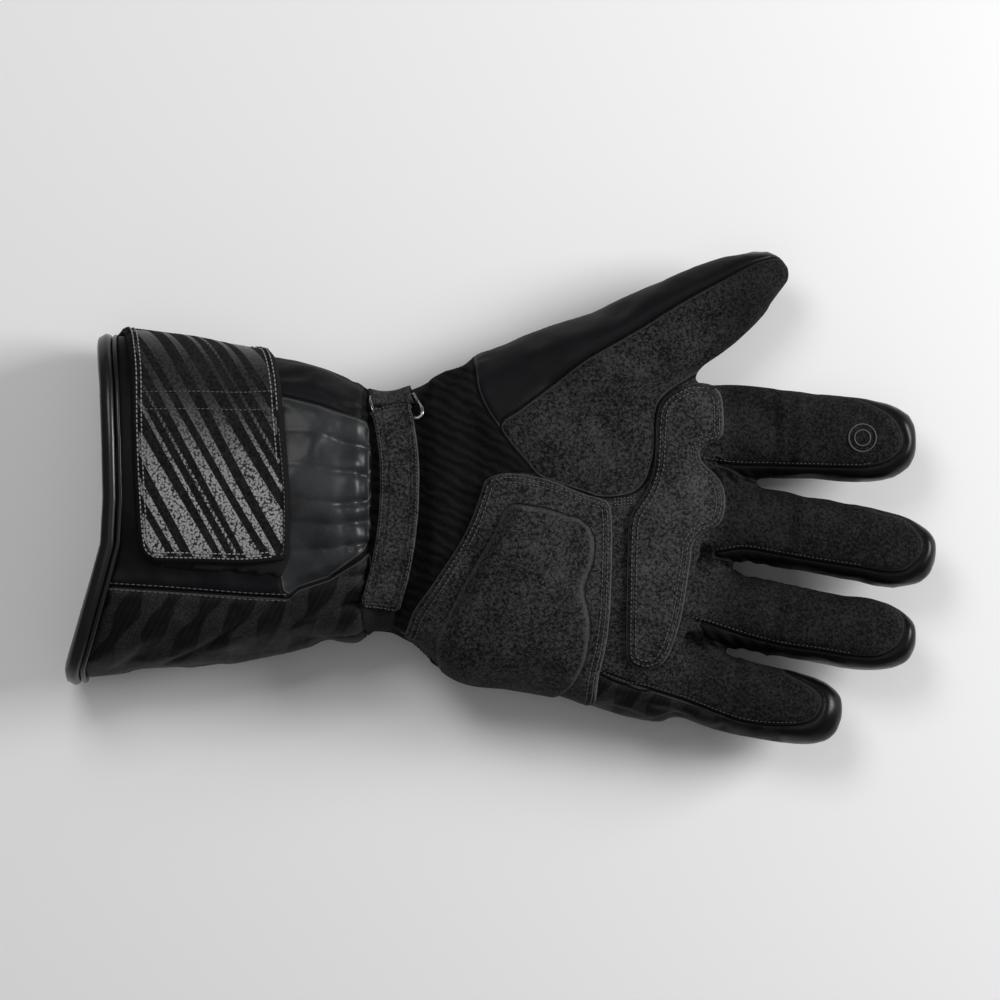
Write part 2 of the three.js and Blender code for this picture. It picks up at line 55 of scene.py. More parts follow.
# Sections: along, thumb edge, little edge, low, high, as shares of each part's sizes
CUFF_SECTIONS = [
    (-0.04, 0.505, -0.475, -0.03, 1.0),
    (0.22, 0.5, -0.452, -0.03, 0.98),
    (0.44, 0.478, -0.434, -0.03, 0.95),
    (0.62, 0.445, -0.41, -0.02, 0.91),
    (0.74, 0.437, -0.388, -0.01, 0.88),
    (0.86, 0.415, -0.364, 0.02, 0.85),
    (0.95, 0.375, -0.357, 0.05, 0.8),
]
WRIST_SECTIONS = [
    (0.2, 0.49, -0.48, 0.09, 0.98),
    (0.4, 0.515, -0.53, 0.08, 0.98),
    (0.65, 0.56, -0.606, 0.04, 0.98),
    (0.85, 0.598, -0.662, 0, 0.97),
]
HAND_SECTIONS = [
    (0, 0.443, -0.487, -0.02, 1.04),
    (0.17, 0.486, -0.501, -0.03, 1.06),
    (0.34, 0.484, -0.516, -0.03, 1.04),
    (0.52, 0.43, -0.552, -0.03, 1.0),
    (0.7, 0.397, -0.58, -0.03, 0.95),
    (0.88, 0.386, -0.6, -0.02, 0.9),
    (1.1, 0.376, -0.615, 0, 0.84),
]
# Digits: along, width, height, side, lift, as shares of the digit's own length, width and height
FINGER_SECTIONS = [
    (-0.3, 0.9, 1.1, 0, 0),
    (0.02, 0.96, 1.12, 0, 0),
    (0.3, 1.0, 1.02, 0, 0),
    (0.56, 0.95, 0.96, 0, 0.03),
    (0.75, 0.9, 0.88, 0, 0.07),
    (0.86, 0.82, 0.77, 0, 0.1),
    (0.94, 0.63, 0.57, 0, 0.12),
    (0.985, 0.37, 0.33, 0, 0.13),
    (1.0, 0.12, 0.11, 0, 0.13),
]
THUMB_SECTIONS = [
    (-0.3, 1.0, 0.9, 0.27, -0.05),
    (0, 1.3, 1.15, 0, 0),
    (0.25, 1.06, 1.08, 0, 0.02),
    (0.38, 1.0, 1.02, 0, 0.04),
    (0.53, 0.92, 0.96, 0, 0.07),
    (0.72, 0.76, 0.86, 0, 0.12),
    (0.84, 0.61, 0.73, 0, 0.15),
    (0.93, 0.42, 0.52, 0, 0.17),
    (0.98, 0.24, 0.3, -0.02, 0.18),
    (1.0, 0.09, 0.1, -0.03, 0.18),
]
# Digits: length, width, height in millimetres, angle in degrees, root as shares of hand length and width
DIGITS = {
    "index": (79.5, 35, 29, -3.4, 1.034, 0.243),
    "middle": (88, 32, 29, -9.9, 1.034, -0.009),
    "ring": (84, 30.4, 28.5, -10.5, 0.995, -0.25),
    "little": (64, 29.4, 27.5, -11.9, 0.898, -0.481),
    "thumb": (91.5, 40, 36, 31, 0.468, 0.366),
}
KNUCKLE_LINE = [
    (1.034, 0.8), (1.034, 0.127), (1.034, -0.118), (0.981, -0.248), (0.946, -0.334), (0.884, -0.478),
    (0.848, -0.8),
]

# Lines seen from above are given in plan steps of 0.38 mm from the corner of a square sheet
STEP = 0.38 * MM
PLAN_MIDDLE = (498.9, 498.7)


def plan(points):
    """Plan steps to metres."""
    return np.array([((x - PLAN_MIDDLE[0]) * STEP, (PLAN_MIDDLE[1] - y) * STEP) for x, y in points])


def plan_x(x):
    """X in metres of a plan step."""
    return plan([(x, 0)])[0, 0]


def lengths_along(line):
    """Length from a line's start to each of its points."""
    return np.r_[0, np.cumsum(np.linalg.norm(np.diff(line, axis=0), axis=1))]


def sideways_of(line):
    """Unit directions to the left of a flat line."""
    along = np.gradient(line, axis=0)
    along /= np.linalg.norm(along, axis=1)[:, None]
    return np.stack([-along[:, 1], along[:, 0]], 1)


def smooth_line(points, spacing=0.6 * MM, closed=False):
    """A line through the points with rounded turns and even spacing."""
    p = np.asarray(points, float)
    if closed:
        p = np.vstack([p[-1], p, p[0], p[1]])
    else:
        p = np.vstack([2 * p[0] - p[1], p, 2 * p[-1] - p[-2]])
    parts = []
    for a, b, c, d in zip(p[:-3], p[1:-2], p[2:-1], p[3:]):
        t = np.linspace(0, 1, 12, endpoint=False)[:, None]
        parts.append(0.5 * (2 * b + (c - a) * t + (2 * a - 5 * b + 4 * c - d) * t**2 + (3 * b - a - 3 * c + d) * t**3))
    line = np.vstack(parts + [p[-2][None]])
    gone = lengths_along(line)
    count = max(2, int(round(gone[-1] / spacing)) + 1)
    places = np.linspace(0, gone[-1], count)
    line = np.stack([np.interp(places, gone, line[:, i]) for i in range(line.shape[1])], 1)
    return line[:-1] if closed else line


def hermite(x, xs, ys):
    """Smooth curve through a table's column."""
    xs, ys = np.asarray(xs, float), np.asarray(ys, float)
    slopes = np.gradient(ys, xs)
    i = np.clip(np.searchsorted(xs, x) - 1, 0, len(xs) - 2)
    h = xs[i + 1] - xs[i]
    t = np.clip((x - xs[i]) / h, 0, 1)
    return (
        (2 * t**3 - 3 * t**2 + 1) * ys[i]
        + (t**3 - 2 * t**2 + t) * h * slopes[i]
        + (3 * t**2 - 2 * t**3) * ys[i + 1]
        + (t**3 - t**2) * h * slopes[i + 1]
    )


def smoothstep(low, high, x):
    t = np.clip((x - low) / (high - low), 0, 1)
    return t * t * (3 - 2 * t)


# Main form: sections of the body in metres

def body_table():
    rows = []
    parts = [
        (CUFF_SECTIONS, -CUFF_LENGTH, CUFF_LENGTH, MOUTH_WIDTH, MOUTH_HEIGHT),
        (WRIST_SECTIONS, 0, WRIST_LENGTH, WRIST_WIDTH, WRIST_HEIGHT),
        (HAND_SECTIONS, WRIST_LENGTH, HAND_LENGTH, HAND_WIDTH, HAND_HEIGHT),
    ]
    for sections, start, length, width, height in parts:
        for along, thumb, little, low, high in sections:
            rows.append((
                WRIST_START.x + start + along * length,
                WRIST_START.y + thumb * width,
                WRIST_START.y + little * width,
                low * height,
                high * height,
            ))
    return np.array(rows)


BODY = body_table()
knuckles = np.array([
    (WRIST_START.x + WRIST_LENGTH + x * HAND_LENGTH, WRIST_START.y + y * HAND_WIDTH) for x, y in KNUCKLE_LINE
])
HAND_END = knuckles[0][0]


def knuckle_x(y):
    """Where the fingers start at y."""
    return np.interp(y, knuckles[::-1, 1], knuckles[::-1, 0])


def signed_power(value, square):
    return np.sign(value) * np.abs(value) ** (2 / square)


def body_section(x, angles, grow=0.0):
    """Points round the body at x, grown by a distance; angle 90 degrees is the middle of the palm."""
    thumb, little, low, high = (hermite(x, BODY[:, 0], BODY[:, i]) for i in range(1, 5))
    square = np.where(np.sin(angles) > 0, SQUARE_PALM, SQUARE_BACK)
    y = (thumb + little) / 2 + ((thumb - little) / 2 + grow) * signed_power(np.cos(angles), square)
    z = (low + high) / 2 + ((high - low) / 2 + grow) * signed_power(np.sin(angles), square)
    return np.stack([np.full_like(y, x), y, z], 1)


def add_ring(bm, points):
    """A closed ring of vertices at the points."""
    ring = bmesh.ops.create_circle(bm, segments=len(points), radius=1)["verts"]
    for vert, point in zip(ring, points):
        vert.co = point
    return list({edge for vert in ring for edge in vert.link_edges})


def loft(bm, rings, capped=True):
    """Bridges neighbouring rings and closes the two ends."""
    loops = [add_ring(bm, ring) for ring in rings]
    for first, second in zip(loops, loops[1:]):
        bmesh.ops.bridge_loops(bm, edges=first + second)
    if capped:
        for loop in (loops[0], loops[-1]):
            bmesh.ops.contextual_create(bm, geom=loop)


def body_rings(grow, count=120, spacing=3 * MM, stop=None):
    """Rings of the body from the mouth to stop, or to the knuckles."""
    angles = np.linspace(0, 2 * math.pi, count, endpoint=False)
    start = BODY[0, 0]
    stop = HAND_END + grow if stop is None else stop
    rings = []
    for x in np.linspace(start, stop, int((stop - start) / spacing) + 1):
        ring = body_section(x, angles, grow)
        share = smoothstep(0.45, 1.0, (x - WRIST_START.x - WRIST_LENGTH) / (HAND_END - WRIST_START.x - WRIST_LENGTH))
        bend = knuckle_x(ring[:, 1]) - HAND_END
        ring[:, 0] += share * bend
        rings.append(ring)
    return rings


def digit_axis(name):
    """Root, direction, sideways direction, length, width and height of a digit."""
    length, width, height, angle, x, y = DIGITS[name]
    turn = math.radians(angle)
    root = Vector((
        WRIST_START.x + WRIST_LENGTH + x * HAND_LENGTH, WRIST_START.y + y * HAND_WIDTH, DIGIT_HEIGHT,
    ))
    forward = Vector((math.cos(turn), math.sin(turn), 0))
    sideways = Vector((-math.sin(turn), math.cos(turn), 0))
    return root, forward, sideways, length * MM, width * MM, height * MM


def along_digit(name, points):
    """How far points are along a digit and to its side."""
    root, forward, sideways, _, _, _ = digit_axis(name)
    offset = points - np.array(root)
    return offset @ np.array(forward), offset @ np.array(sideways)


# The cloth's tips reach past the solids' by this much
LONGER = 1.4 * MM
# Growth of a digit's two sides in millimetres at places along it in millimetres: along, thumb side, little side
SIDE_GROWTH = {
    "index": [(8, 0.8, 0.8), (20, 0.5, -1.2), (44, 0.4, -1.0), (58, 0.4, 0.3)],
    "middle": [(7, 0.7, 0.5), (18, -0.7, -2.4), (38, 0.2, -2.1), (56, 0.5, -1.0), (72, 0.5, 0.3)],
    "ring": [(7, 0.5, 0.7), (17, -2.1, -1.3), (36, -1.8, -0.6), (52, -0.8, 0.2), (66, 0.2, 0.4)],
    "little": [(10, 0.9, 0.2), (22, -0.9, 0.1), (36, -0.3, 0.3), (50, 0.3, 0.4)],
    "thumb": [(0, 0.5, 0.8), (30, 0.5, -0.5), (90, 0.5, -0.5)],
}


def digit_rings(name, grow=0.0, count=64, spacing=2 * MM):
    """Rings of a digit from inside the hand to its tip."""
    root, forward, sideways, length, width, height = digit_axis(name)
    table = np.array(THUMB_SECTIONS if name == "thumb" else FINGER_SECTIONS)
    growth = np.array(SIDE_GROWTH[name], float)
    angles = np.linspace(0, 2 * math.pi, count, endpoint=False)
    steps = int(1.3 * length / spacing)
    places = np.unique(np.r_[np.linspace(-0.3, 0.9, steps), np.linspace(0.9, 1, 14)])
    rings = []
    for along in places:
        w, h, side, lift = (hermite(along, table[:, 0], table[:, i]) for i in range(1, 5))
        if along > 0.94:
            round_off = math.sqrt(max(0.004, 1 - ((along - 0.94) / 0.06) ** 2))
            w = hermite(0.94, table[:, 0], table[:, 1]) * round_off
            h = hermite(0.94, table[:, 0], table[:, 2]) * round_off
        thumb_side, little_side = (np.interp(along * length / MM, growth[:, 0], growth[:, i]) * MM for i in (1, 2))
        turn = np.cos(angles)
        more = (thumb_side + little_side) / 2 + turn * (thumb_side - little_side) / 2
        centre = root + forward * (along * (length + LONGER * max(along, 0))) + sideways * (side * width)
        out = (w * width / 2 + more) * signed_power(turn, SQUARE_DIGIT)
        up = (h * height / 2 + grow) * signed_power(np.sin(angles), SQUARE_DIGIT)
        ring = np.array(centre)[None] + out[:, None] * np.array(sideways)[None]
        ring[:, 2] += lift * height + up
        rings.append(ring)
    return rings


def new_object(name, bm):
    mesh = bpy.data.meshes.new(name)
    bm.to_mesh(mesh)
    bm.free()
    piece = bpy.data.objects.new(name, mesh)
    bpy.context.collection.objects.link(piece)
    return piece


def shade_smooth(piece):
    for polygon in piece.data.polygons:
        polygon.use_smooth = True
    return piece


def apply_modifiers(piece):
    """Replaces the piece's mesh by what its modifiers make of it."""
    graph = bpy.context.evaluated_depsgraph_get()
    mesh = bpy.data.meshes.new_from_object(piece.evaluated_get(graph))
    piece.modifiers.clear()
    old = piece.data
    piece.data = mesh
    bpy.data.meshes.remove(old)
    return piece


def coordinates(mesh):
    flat = np.empty(len(mesh.vertices) * 3, np.float64)
    mesh.vertices.foreach_get("co", flat)
    return flat.reshape(-1, 3)


def normals(mesh):
    flat = np.empty(len(mesh.vertices) * 3, np.float32)
    mesh.vertex_normals.foreach_get("vector", flat)
    return flat.reshape(-1, 3).astype(float)


def set_coordinates(mesh, points):
    mesh.vertices.foreach_set("co", np.asarray(points, np.float64).ravel())
    mesh.update()


# Lines on the glove, in plan steps

MOUTH = [
    (99, 290), (99, 342), (104, 388), (106.5, 440), (108, 498), (105.5, 543), (94.5, 583), (77.5, 639),
    (68, 667), (68, 720),
]
SEAM_THUMB_SIDE = [
    (500, 425), (520, 409), (540, 394), (560, 379), (580, 363), (600, 351), (640, 328), (680, 303), (720, 281),
    (750, 265), (770, 258), (782, 258),
]
SEAM_THUMB_BASE = [
    (473, 352), (475, 372), (478, 392), (487, 412), (498, 428), (510, 445), (525, 462), (538, 477), (560, 485),
    (580, 492), (600, 498), (620, 497), (635, 492), (645, 482), (650, 470), (654, 455), (655, 440), (655, 420),
    (659, 403), (672, 390), (692, 378),
]
SEAM_INDEX = [
    (700, 461), (730, 465), (765, 466), (850, 468), (870, 467), (887, 462), (900, 451), (904, 440), (897, 422),
    (885, 410), (860, 398),
]
SEAM_MIDDLE = [
    (705, 553), (720, 552), (745, 549), (780, 555), (820, 562), (860, 568), (880, 572), (900, 572), (912, 565),
    (922, 553), (923, 540), (915, 527), (905, 518), (890, 513), (876, 510),
]
SEAM_RING = [
    (688, 619), (720, 628), (745, 636), (780, 645), (820, 651), (850, 656), (875, 657), (890, 651), (900, 642),
    (905, 628), (903, 615), (893, 603), (878, 598),
]
SEAM_LITTLE = [
    (596, 672), (620, 683), (650, 689), (680, 698), (700, 706), (720, 714), (745, 722), (770, 725), (795, 725),
    (812, 720), (820, 710), (822, 698), (815, 688), (800, 679), (785, 671),
]
SEAM_CUFF_LOW = [(112, 585), (160, 588), (200, 591), (250, 595), (292, 597)]
SEAM_CUFF_DIAGONAL = [(165, 667), (200, 650), (240, 626), (280, 600), (300, 588), (330, 578), (360, 560), (374, 545)]
SEAM_CUFF_TOP = [(283, 396), (300, 400), (320, 405), (340, 412), (372, 421)]
PALM_SEAMS = [
    SEAM_THUMB_SIDE, SEAM_THUMB_BASE, SEAM_INDEX, SEAM_MIDDLE, SEAM_RING, SEAM_LITTLE,
    SEAM_CUFF_LOW, SEAM_CUFF_DIAGONAL, SEAM_CUFF_TOP,
]

SUEDE_AREAS = [
    SEAM_THUMB_SIDE + [
        (800, 262), (797, 290), (768, 324), (738, 358), (708, 380), (690, 388), (662, 403), (655, 425), (655, 455),
        (645, 482), (620, 497), (600, 498), (560, 485), (538, 477), (510, 445),
    ],
    [(600, 470), (652, 380), (700, 374), (765, 380), (810, 385), (845, 390)] + SEAM_INDEX[::-1] + [(600, 520)],
    [
        (500, 480), (560, 484), (600, 497), (640, 440), (712, 450), (715, 550), (700, 625), (650, 689), (596, 672),
        (560, 700), (470, 690), (440, 600),
    ],
    [(640, 462), (715, 464), (745, 476), (780, 485), (810, 491), (840, 496), (870, 503)]
    + SEAM_MIDDLE[::-1] + [(600, 560)],
    [(600, 520), (705, 553), (730, 559), (755, 568), (780, 575), (810, 582), (840, 588), (872, 594)]
    + SEAM_RING[::-1] + [(600, 625)],
    [(560, 560), (688, 619), (705, 636), (730, 646), (752, 654), (780, 664)] + SEAM_LITTLE[::-1] + [(560, 655)],
]
SATIN_AREA = [
    (283, 396), (300, 400), (320, 405), (340, 412), (368, 421), (372, 430), (372, 540), (366, 552), (330, 578),
    (300, 588), (290, 596), (284, 590), (270, 500),
]
THUMB_AREA = SEAM_THUMB_BASE + [(740, 350), (830, 300), (830, 200), (700, 200), (560, 250), (470, 300)]
ELASTIC_AREA = [(372, 300), (470, 300)] + SEAM_THUMB_BASE[:8] + [(520, 520), (470, 620), (470, 800), (372, 800)]
PRINTED_AREA = [
    (40, 586), (112, 585), (200, 591), (290, 597), (300, 588), (330, 578), (360, 560), (372, 549), (374, 560),
    (374, 640), (374, 720), (40, 720),
]
HEEL_PATCH = [
    (485, 480), (492, 476), (510, 473), (538, 477), (570, 488), (600, 498), (608, 502), (611, 512), (612, 540),
    (611, 580), (609, 620), (605, 650), (599, 675), (590, 700), (560, 720), (500, 722), (440, 700), (398, 665),
    (400, 640), (412, 617), (425, 595), (440, 572), (458, 545), (470, 522), (480, 495),
]
HEEL_PAD = [
    (512, 502), (530, 504), (560, 511), (580, 518), (590, 527), (595, 540), (595, 555), (592, 568), (587, 580),
    (585, 590), (588, 605), (591, 620), (590, 640), (586, 660), (578, 675), (566, 690), (545, 701), (500, 697),
    (468, 688), (440, 672), (434, 650), (437, 630), (447, 610), (460, 585), (475, 560), (490, 535), (502, 510),
]
GRIP_PATCH = [
    (655, 425), (654, 450), (652, 470), (645, 490), (635, 505), (628, 520), (626, 545), (625, 600), (625, 650),
    (628, 662), (636, 668), (648, 670), (660, 665), (668, 655), (674, 640), (680, 620), (684, 600), (687, 580),
    (690, 560), (692, 545), (698, 537), (706, 532), (716, 527), (722, 518), (725, 505), (724, 490), (720, 480),
    (713, 472), (705, 465), (700, 458), (700, 451), (706, 446), (714, 443), (720, 440), (723, 430), (723, 410),
    (721, 395), (714, 386), (705, 383), (690, 383), (678, 388), (666, 396), (658, 407),
]
FLAP = [
    (124, 325), (130, 350), (135, 380), (137, 440), (140, 500), (143, 538), (147, 552), (156, 559), (170, 561),
    (278, 560), (288, 556), (292, 546), (293, 500), (290, 460), (286, 420), (283, 390), (277, 368), (268, 350),
    (262, 325),
]
STRAP_MIDDLE = [(391, 405), (396, 430), (400, 462), (400, 500), (397, 535), (391, 570), (384, 596), (381, 610)]


def outline_distance(points, outline, closed=True):
    """Distance of flat points to a line, and the nearest place on it."""
    a = np.asarray(outline, float)
    b = np.roll(a, -1, axis=0) if closed else a[1:]
    a = a if closed else a[:-1]
    best = np.full(len(points), 9.0)
    near = np.zeros((len(points), 2))
    for start, end in zip(a, b):
        along = end - start
        t = np.clip(((points - start) @ along) / max(along @ along, 1e-18), 0, 1)
        place = start + t[:, None] * along
        gap = np.linalg.norm(points - place, axis=1)
        closer = gap < best
        best[closer] = gap[closer]
        near[closer] = place[closer]
    return best, near


def inside(points, outline):
    """Which flat points lie in the closed outline."""
    x, y = points[:, 0], points[:, 1]
    result = np.zeros(len(points), bool)
    for (ax, ay), (bx, by) in zip(outline, np.roll(outline, -1, axis=0)):
        crosses = (ay > y) != (by > y)
        with np.errstate(divide="ignore", invalid="ignore"):
            side = x < (bx - ax) * (y - ay) / (by - ay) + ax
        result ^= crosses & side
    return result


def depth_inside(points, outline, reach=8 * MM):
    """Distance to the outline, positive inside, and no less than -reach."""
    outline = np.asarray(outline)
    near = np.all((points > outline.min(0) - reach) & (points < outline.max(0) + reach), axis=1)
    depth = np.full(len(points), -reach)
    gap, _ = outline_distance(points[near], outline)
    depth[near] = np.where(inside(points[near], outline), gap, -gap)
    return depth


def area_depth(points, corners):
    """Distance into an area of the plan whose outline turns softly."""
    return depth_inside(points, smooth_line(plan(corners), 2 * MM, closed=True))


def mouth_x(y):
    line = plan(MOUTH)
    return np.interp(y, line[::-1, 1], line[::-1, 0])


# Skin: one continuous cloth form, puffed, gathered and sewn

VOXEL = 2.0 * MM
# How the cloth is puffed: frames, inner pressure, shrinking of the weave, furthest growth of body and digits
PUFF_FRAMES, PUFF_PRESSURE, PUFF_STRETCH = 16, 2.2, 0.012
BODY_GROWTH, DIGIT_GROWTH_LESS, LOW_SIDE_LESS = 3.2 * MM, 1.8 * MM, 1.7 * MM
STRAP_X, PINCH_DEPTH = 394, 2.2 * MM


def raw_skin():
    bm = bmesh.new()
    loft(bm, body_rings(0.0))
    for name in DIGITS:
        loft(bm, digit_rings(name, -0.5 * MM))
    bmesh.ops.recalc_face_normals(bm, faces=bm.faces)
    skin = new_object("skin", bm)
    remesh = skin.modifiers.new("Remesh", "REMESH")
    remesh.mode = "VOXEL"
    remesh.voxel_size = VOXEL
    apply_modifiers(skin)
    relax = skin.modifiers.new("Relax", "SMOOTH")
    relax.factor = 0.5
    relax.iterations = 6
    apply_modifiers(skin)
    return skin


def seam_gap(points):
    """Distance of each point to the nearest seam seen from above."""
    best = np.full(len(points), 1.0)
    for seam in PALM_SEAMS:
        line = smooth_line(plan(seam), 2 * MM)
        gap, _ = outline_distance(points[:, :2], line, closed=False)
        best = np.minimum(best, gap)
    return best


def puff(piece, frames, pressure, stretch, pinned, cap):
    """Cloth simulation with inner pressure; pinned is a weight for each vertex, cap the furthest move."""
    rest = coordinates(piece.data).copy()
    group = piece.vertex_groups.new(name="pinned")
    for level in np.unique(np.round(pinned, 1)):
        if level > 0:
            group.add([int(i) for i in np.nonzero(np.round(pinned, 1) == level)[0]], float(level), "REPLACE")
    cloth = piece.modifiers.new("Cloth", "CLOTH")
    settings = cloth.settings
    settings.quality = 5
    settings.mass = 0.3
    settings.tension_stiffness = 12
    settings.compression_stiffness = 12
    settings.shear_stiffness = 4
    settings.bending_stiffness = 0.35
    settings.shrink_min = -stretch
    settings.vertex_group_mass = "pinned"
    settings.use_pressure = True
    settings.uniform_pressure_force = pressure
    settings.effector_weights.gravity = 0
    cloth.point_cache.frame_start = 1
    cloth.point_cache.frame_end = frames
    for step in range(1, frames + 1):
        bpy.context.scene.frame_set(step)
    apply_modifiers(piece)
    bpy.context.scene.frame_set(1)
    moved = coordinates(piece.data) - rest
    far = np.linalg.norm(moved, axis=1)
    scale = np.minimum(1, cap / np.maximum(far, 1e-9))
    set_coordinates(piece.data, rest + moved * scale[:, None])


def field(points, size, seed):
    """Smooth noise from -1 to 1 at the points."""
    shift = Vector((seed * 7.3, seed * 3.1, seed * 5.7))
    return np.array([noise.noise(Vector(p) / size + shift) for p in points])


def sew_skin(skin):
    """Seams, gathers and folds pressed into the fine skin."""
    mesh = skin.data
    points = coordinates(mesh).copy()
    out = normals(mesh)
    x, y, z = points.T
    top = smoothstep(14 * MM, 24 * MM, z)

    seam = np.where(z > 16 * MM, seam_gap(points), 1.0)
    push = -0.8 * MM * np.exp(-((seam / (0.9 * MM)) ** 2))
    push += 0.35 * MM * np.exp(-(((seam - 3.2 * MM) / (2.0 * MM)) ** 2))
    facing_up = smoothstep(0.15, 0.55, out[:, 2])
    push *= facing_up

    # Pinched wrist with gathers either side of the strap
    wrist = plan_x(366)
    strap_end = plan_x(418)
    gather_end = plan_x(492)
    angle = np.arctan2(z - 24 * MM, y - WRIST_START.y)
    wobble = field(points * [0.35, 1, 1], 9 * MM, 3)
    folds = np.cos(angle * 17 + (x - wrist) / (7 * MM) + wobble * 3)
    pinch = smoothstep(wrist - 4 * MM, wrist + 2 * MM, x) * (1 - smoothstep(strap_end, strap_end + 6 * MM, x))
    push -= PINCH_DEPTH * pinch * top
    beside = smoothstep(wrist, wrist + 4 * MM, x) * (1 - smoothstep(gather_end - 22 * MM, gather_end + 4 * MM, x))
    push += beside * (0.75 * MM * folds + 0.35 * MM * field(points, 5 * MM, 5))
    scallop = np.exp(-((wrist - x) / (15 * MM))) * (x < wrist) + smoothstep(wrist + 3 * MM, wrist, x) * (x >= wrist)
    lobes = np.sqrt(np.abs(np.cos(angle * 10 + 0.6 + wobble * 0.8)))
    push += 3.0 * MM * np.clip(scallop, 0, 1) * (lobes - 0.35) * (x > wrist - 60 * MM)

    # Soft folds of the cuff and slight unevenness everywhere
    cuff = smoothstep(wrist, wrist - 20 * MM, x)
    push += cuff * (0.8 * MM * field(points * [0.5, 1, 1], 24 * MM, 8) + 0.3 * MM * field(points, 9 * MM, 9))
    push += 0.2 * MM * field(points, 11 * MM, 1) + 0.08 * MM * field(points, 4 * MM, 2)

    # Creases where the fingers bend, and the wrinkled strip along the little finger
    for name, shares in (("index", (0.33, 0.4)), ("middle", (0.36,)), ("ring", (0.36,)), ("little", (0.35,))):
        _, _, _, length, width, _ = digit_axis(name)
        along, side = along_digit(name, points)
        near = (np.abs(side) < width * 0.62) & (z > 18 * MM)
        for share in shares:
            offset = (along - share * length + 6 * side * side) / (1.6 * MM)
            push += near * facing_up * (-0.5 * MM * np.exp(-(offset**2)) + 0.35 * MM * np.exp(-((offset - 3) ** 2)))
    strip = smooth_line(plan([(575, 702), (640, 712), (700, 726), (748, 732)]), 2 * MM)
    strip_gap, _ = outline_distance(points[:, :2], strip, closed=False)
    wrinkles = np.sin((x * 0.8 - y * 1.1) / (3.4 * MM) + 2 * wobble)
    push += 0.7 * MM * wrinkles * np.exp(-((strip_gap / (6 * MM)) ** 2)) * top * facing_up

    # Small slanting gathers where the finger sides meet at the webs
    for web, reach in (((722, 478), 38), ((722, 566), 44), ((702, 640), 46)):
        centre = plan([web])[0]
        near = np.exp(-((x - centre[0] - 0.4 * reach * STEP) / (reach * STEP * 0.6)) ** 2)
        near *= np.exp(-(((y - centre[1] + 0.12 * (x - centre[0])) / (3.6 * MM)) ** 2))
        push += 0.7 * MM * near * np.sin((x + 0.9 * y) / (0.85 * MM)) * (z > 12 * MM)
    side = smoothstep(0.4, 0.9, -out[:, 1])
    heel = smoothstep(wrist + 10 * MM, wrist + 30 * MM, x) * (1 - smoothstep(60 * MM, 90 * MM, x))
    push -= side * (1.4 * MM * heel + 0.9 * MM * cuff)
    set_coordinates(mesh, points + out * push[:, None])


def flatten_rest(piece):
    """Cloth lies flat where the glove rests."""
    points = coordinates(piece.data).copy()
    points[:, 2] = np.maximum(points[:, 2], 0.0)
    set_coordinates(piece.data, points)


def tuck_mouth(piece):
    """The cuff's cloth runs in under the binding."""
    points = coordinates(piece.data).copy()
    near = 1 - smoothstep(4.6 * MM, 10 * MM, points[:, 0] - mouth_x(points[:, 1]))
    points -= normals(piece.data) * (1.2 * MM * near)[:, None]
    points[:, 2] = np.maximum(points[:, 2], 0.0)
    set_coordinates(piece.data, points)


def write_attribute(mesh, name, values):
    layer = mesh.attributes.new(name, "FLOAT", "POINT")
    layer.data.foreach_set("value", np.asarray(values, np.float32))


def read_attribute(mesh, name):
    return np.array([item.value for item in mesh.attributes[name].data])


def mark_panels(mesh):
    """Distances into each cloth, in millimetres, for the material."""
    points = coordinates(mesh)
    flat = points[:, :2]
    tip_side = inside(flat, plan([(600, 350), (760, 256), (840, 230), (840, 330), (700, 388), (655, 420)]))
    height = points[:, 2] - np.where(tip_side, 11 * MM, 20 * MM)
    suede = np.full(len(points), -1.0)
    for area in SUEDE_AREAS:
        suede = np.maximum(suede, area_depth(flat, area))
    write_attribute(mesh, "suede", np.minimum(suede, height) / MM)
    write_attribute(mesh, "satin", np.minimum(depth_inside(flat, plan(SATIN_AREA)), height) / MM)
    write_attribute(mesh, "thumb", np.where(height > 0, area_depth(flat, THUMB_AREA), 9 * MM) / MM)
    write_attribute(mesh, "elastic", area_depth(flat, ELASTIC_AREA) / MM)
    printed = depth_inside(flat, plan(PRINTED_AREA))
    strip = [(560, 690), (596, 671), (640, 685), (700, 705), (745, 721), (800, 724), (800, 760), (560, 760)]
    printed = np.maximum(printed, np.minimum(area_depth(flat, strip), points[:, 2] - 12 * MM))
    write_attribute(mesh, "printed", printed / MM)
    rim = np.full(len(points), -1.0)
    for name in FINGER_NAMES + ["thumb"]:
        _, _, _, length, width, _ = digit_axis(name)
        along, side = along_digit(name, points)
        aside = np.abs(side)
        cap = along - (length - (20 if name != "thumb" else 9) * MM)
        rim = np.maximum(rim, cap - 4 * np.maximum(0, aside - width * 0.6))
    write_attribute(mesh, "rim", rim / MM)
    past = flat[:, 0] - knuckle_x(flat[:, 1])
    write_attribute(mesh, "finger", smoothstep(-4 * MM, 14 * MM, past))


skin = raw_skin()
rest_points = coordinates(skin.data).copy()
gaps = seam_gap(rest_points)
pins = np.where((gaps < 2.5 * MM) & (rest_points[:, 2] > 16 * MM), 0.9, 0.0)
pins = np.maximum(pins, smoothstep(4 * MM, 1 * MM, rest_points[:, 2]))
wrist_x = plan_x(STRAP_X)
pins = np.maximum(pins, 0.8 * (np.abs(rest_points[:, 0] - wrist_x) < 9 * MM))
beyond = rest_points[:, 0] - knuckle_x(rest_points[:, 1])
cap = BODY_GROWTH - DIGIT_GROWTH_LESS * smoothstep(-6 * MM, 8 * MM, beyond)
low_side = smoothstep(0.35, 0.85, -normals(skin.data)[:, 1])
cap -= LOW_SIDE_LESS * low_side * (1 - smoothstep(-4 * MM, 8 * MM, beyond))
puff(skin, PUFF_FRAMES, PUFF_PRESSURE, PUFF_STRETCH, pins, cap)
calm = skin.vertex_groups.new(name="calm")
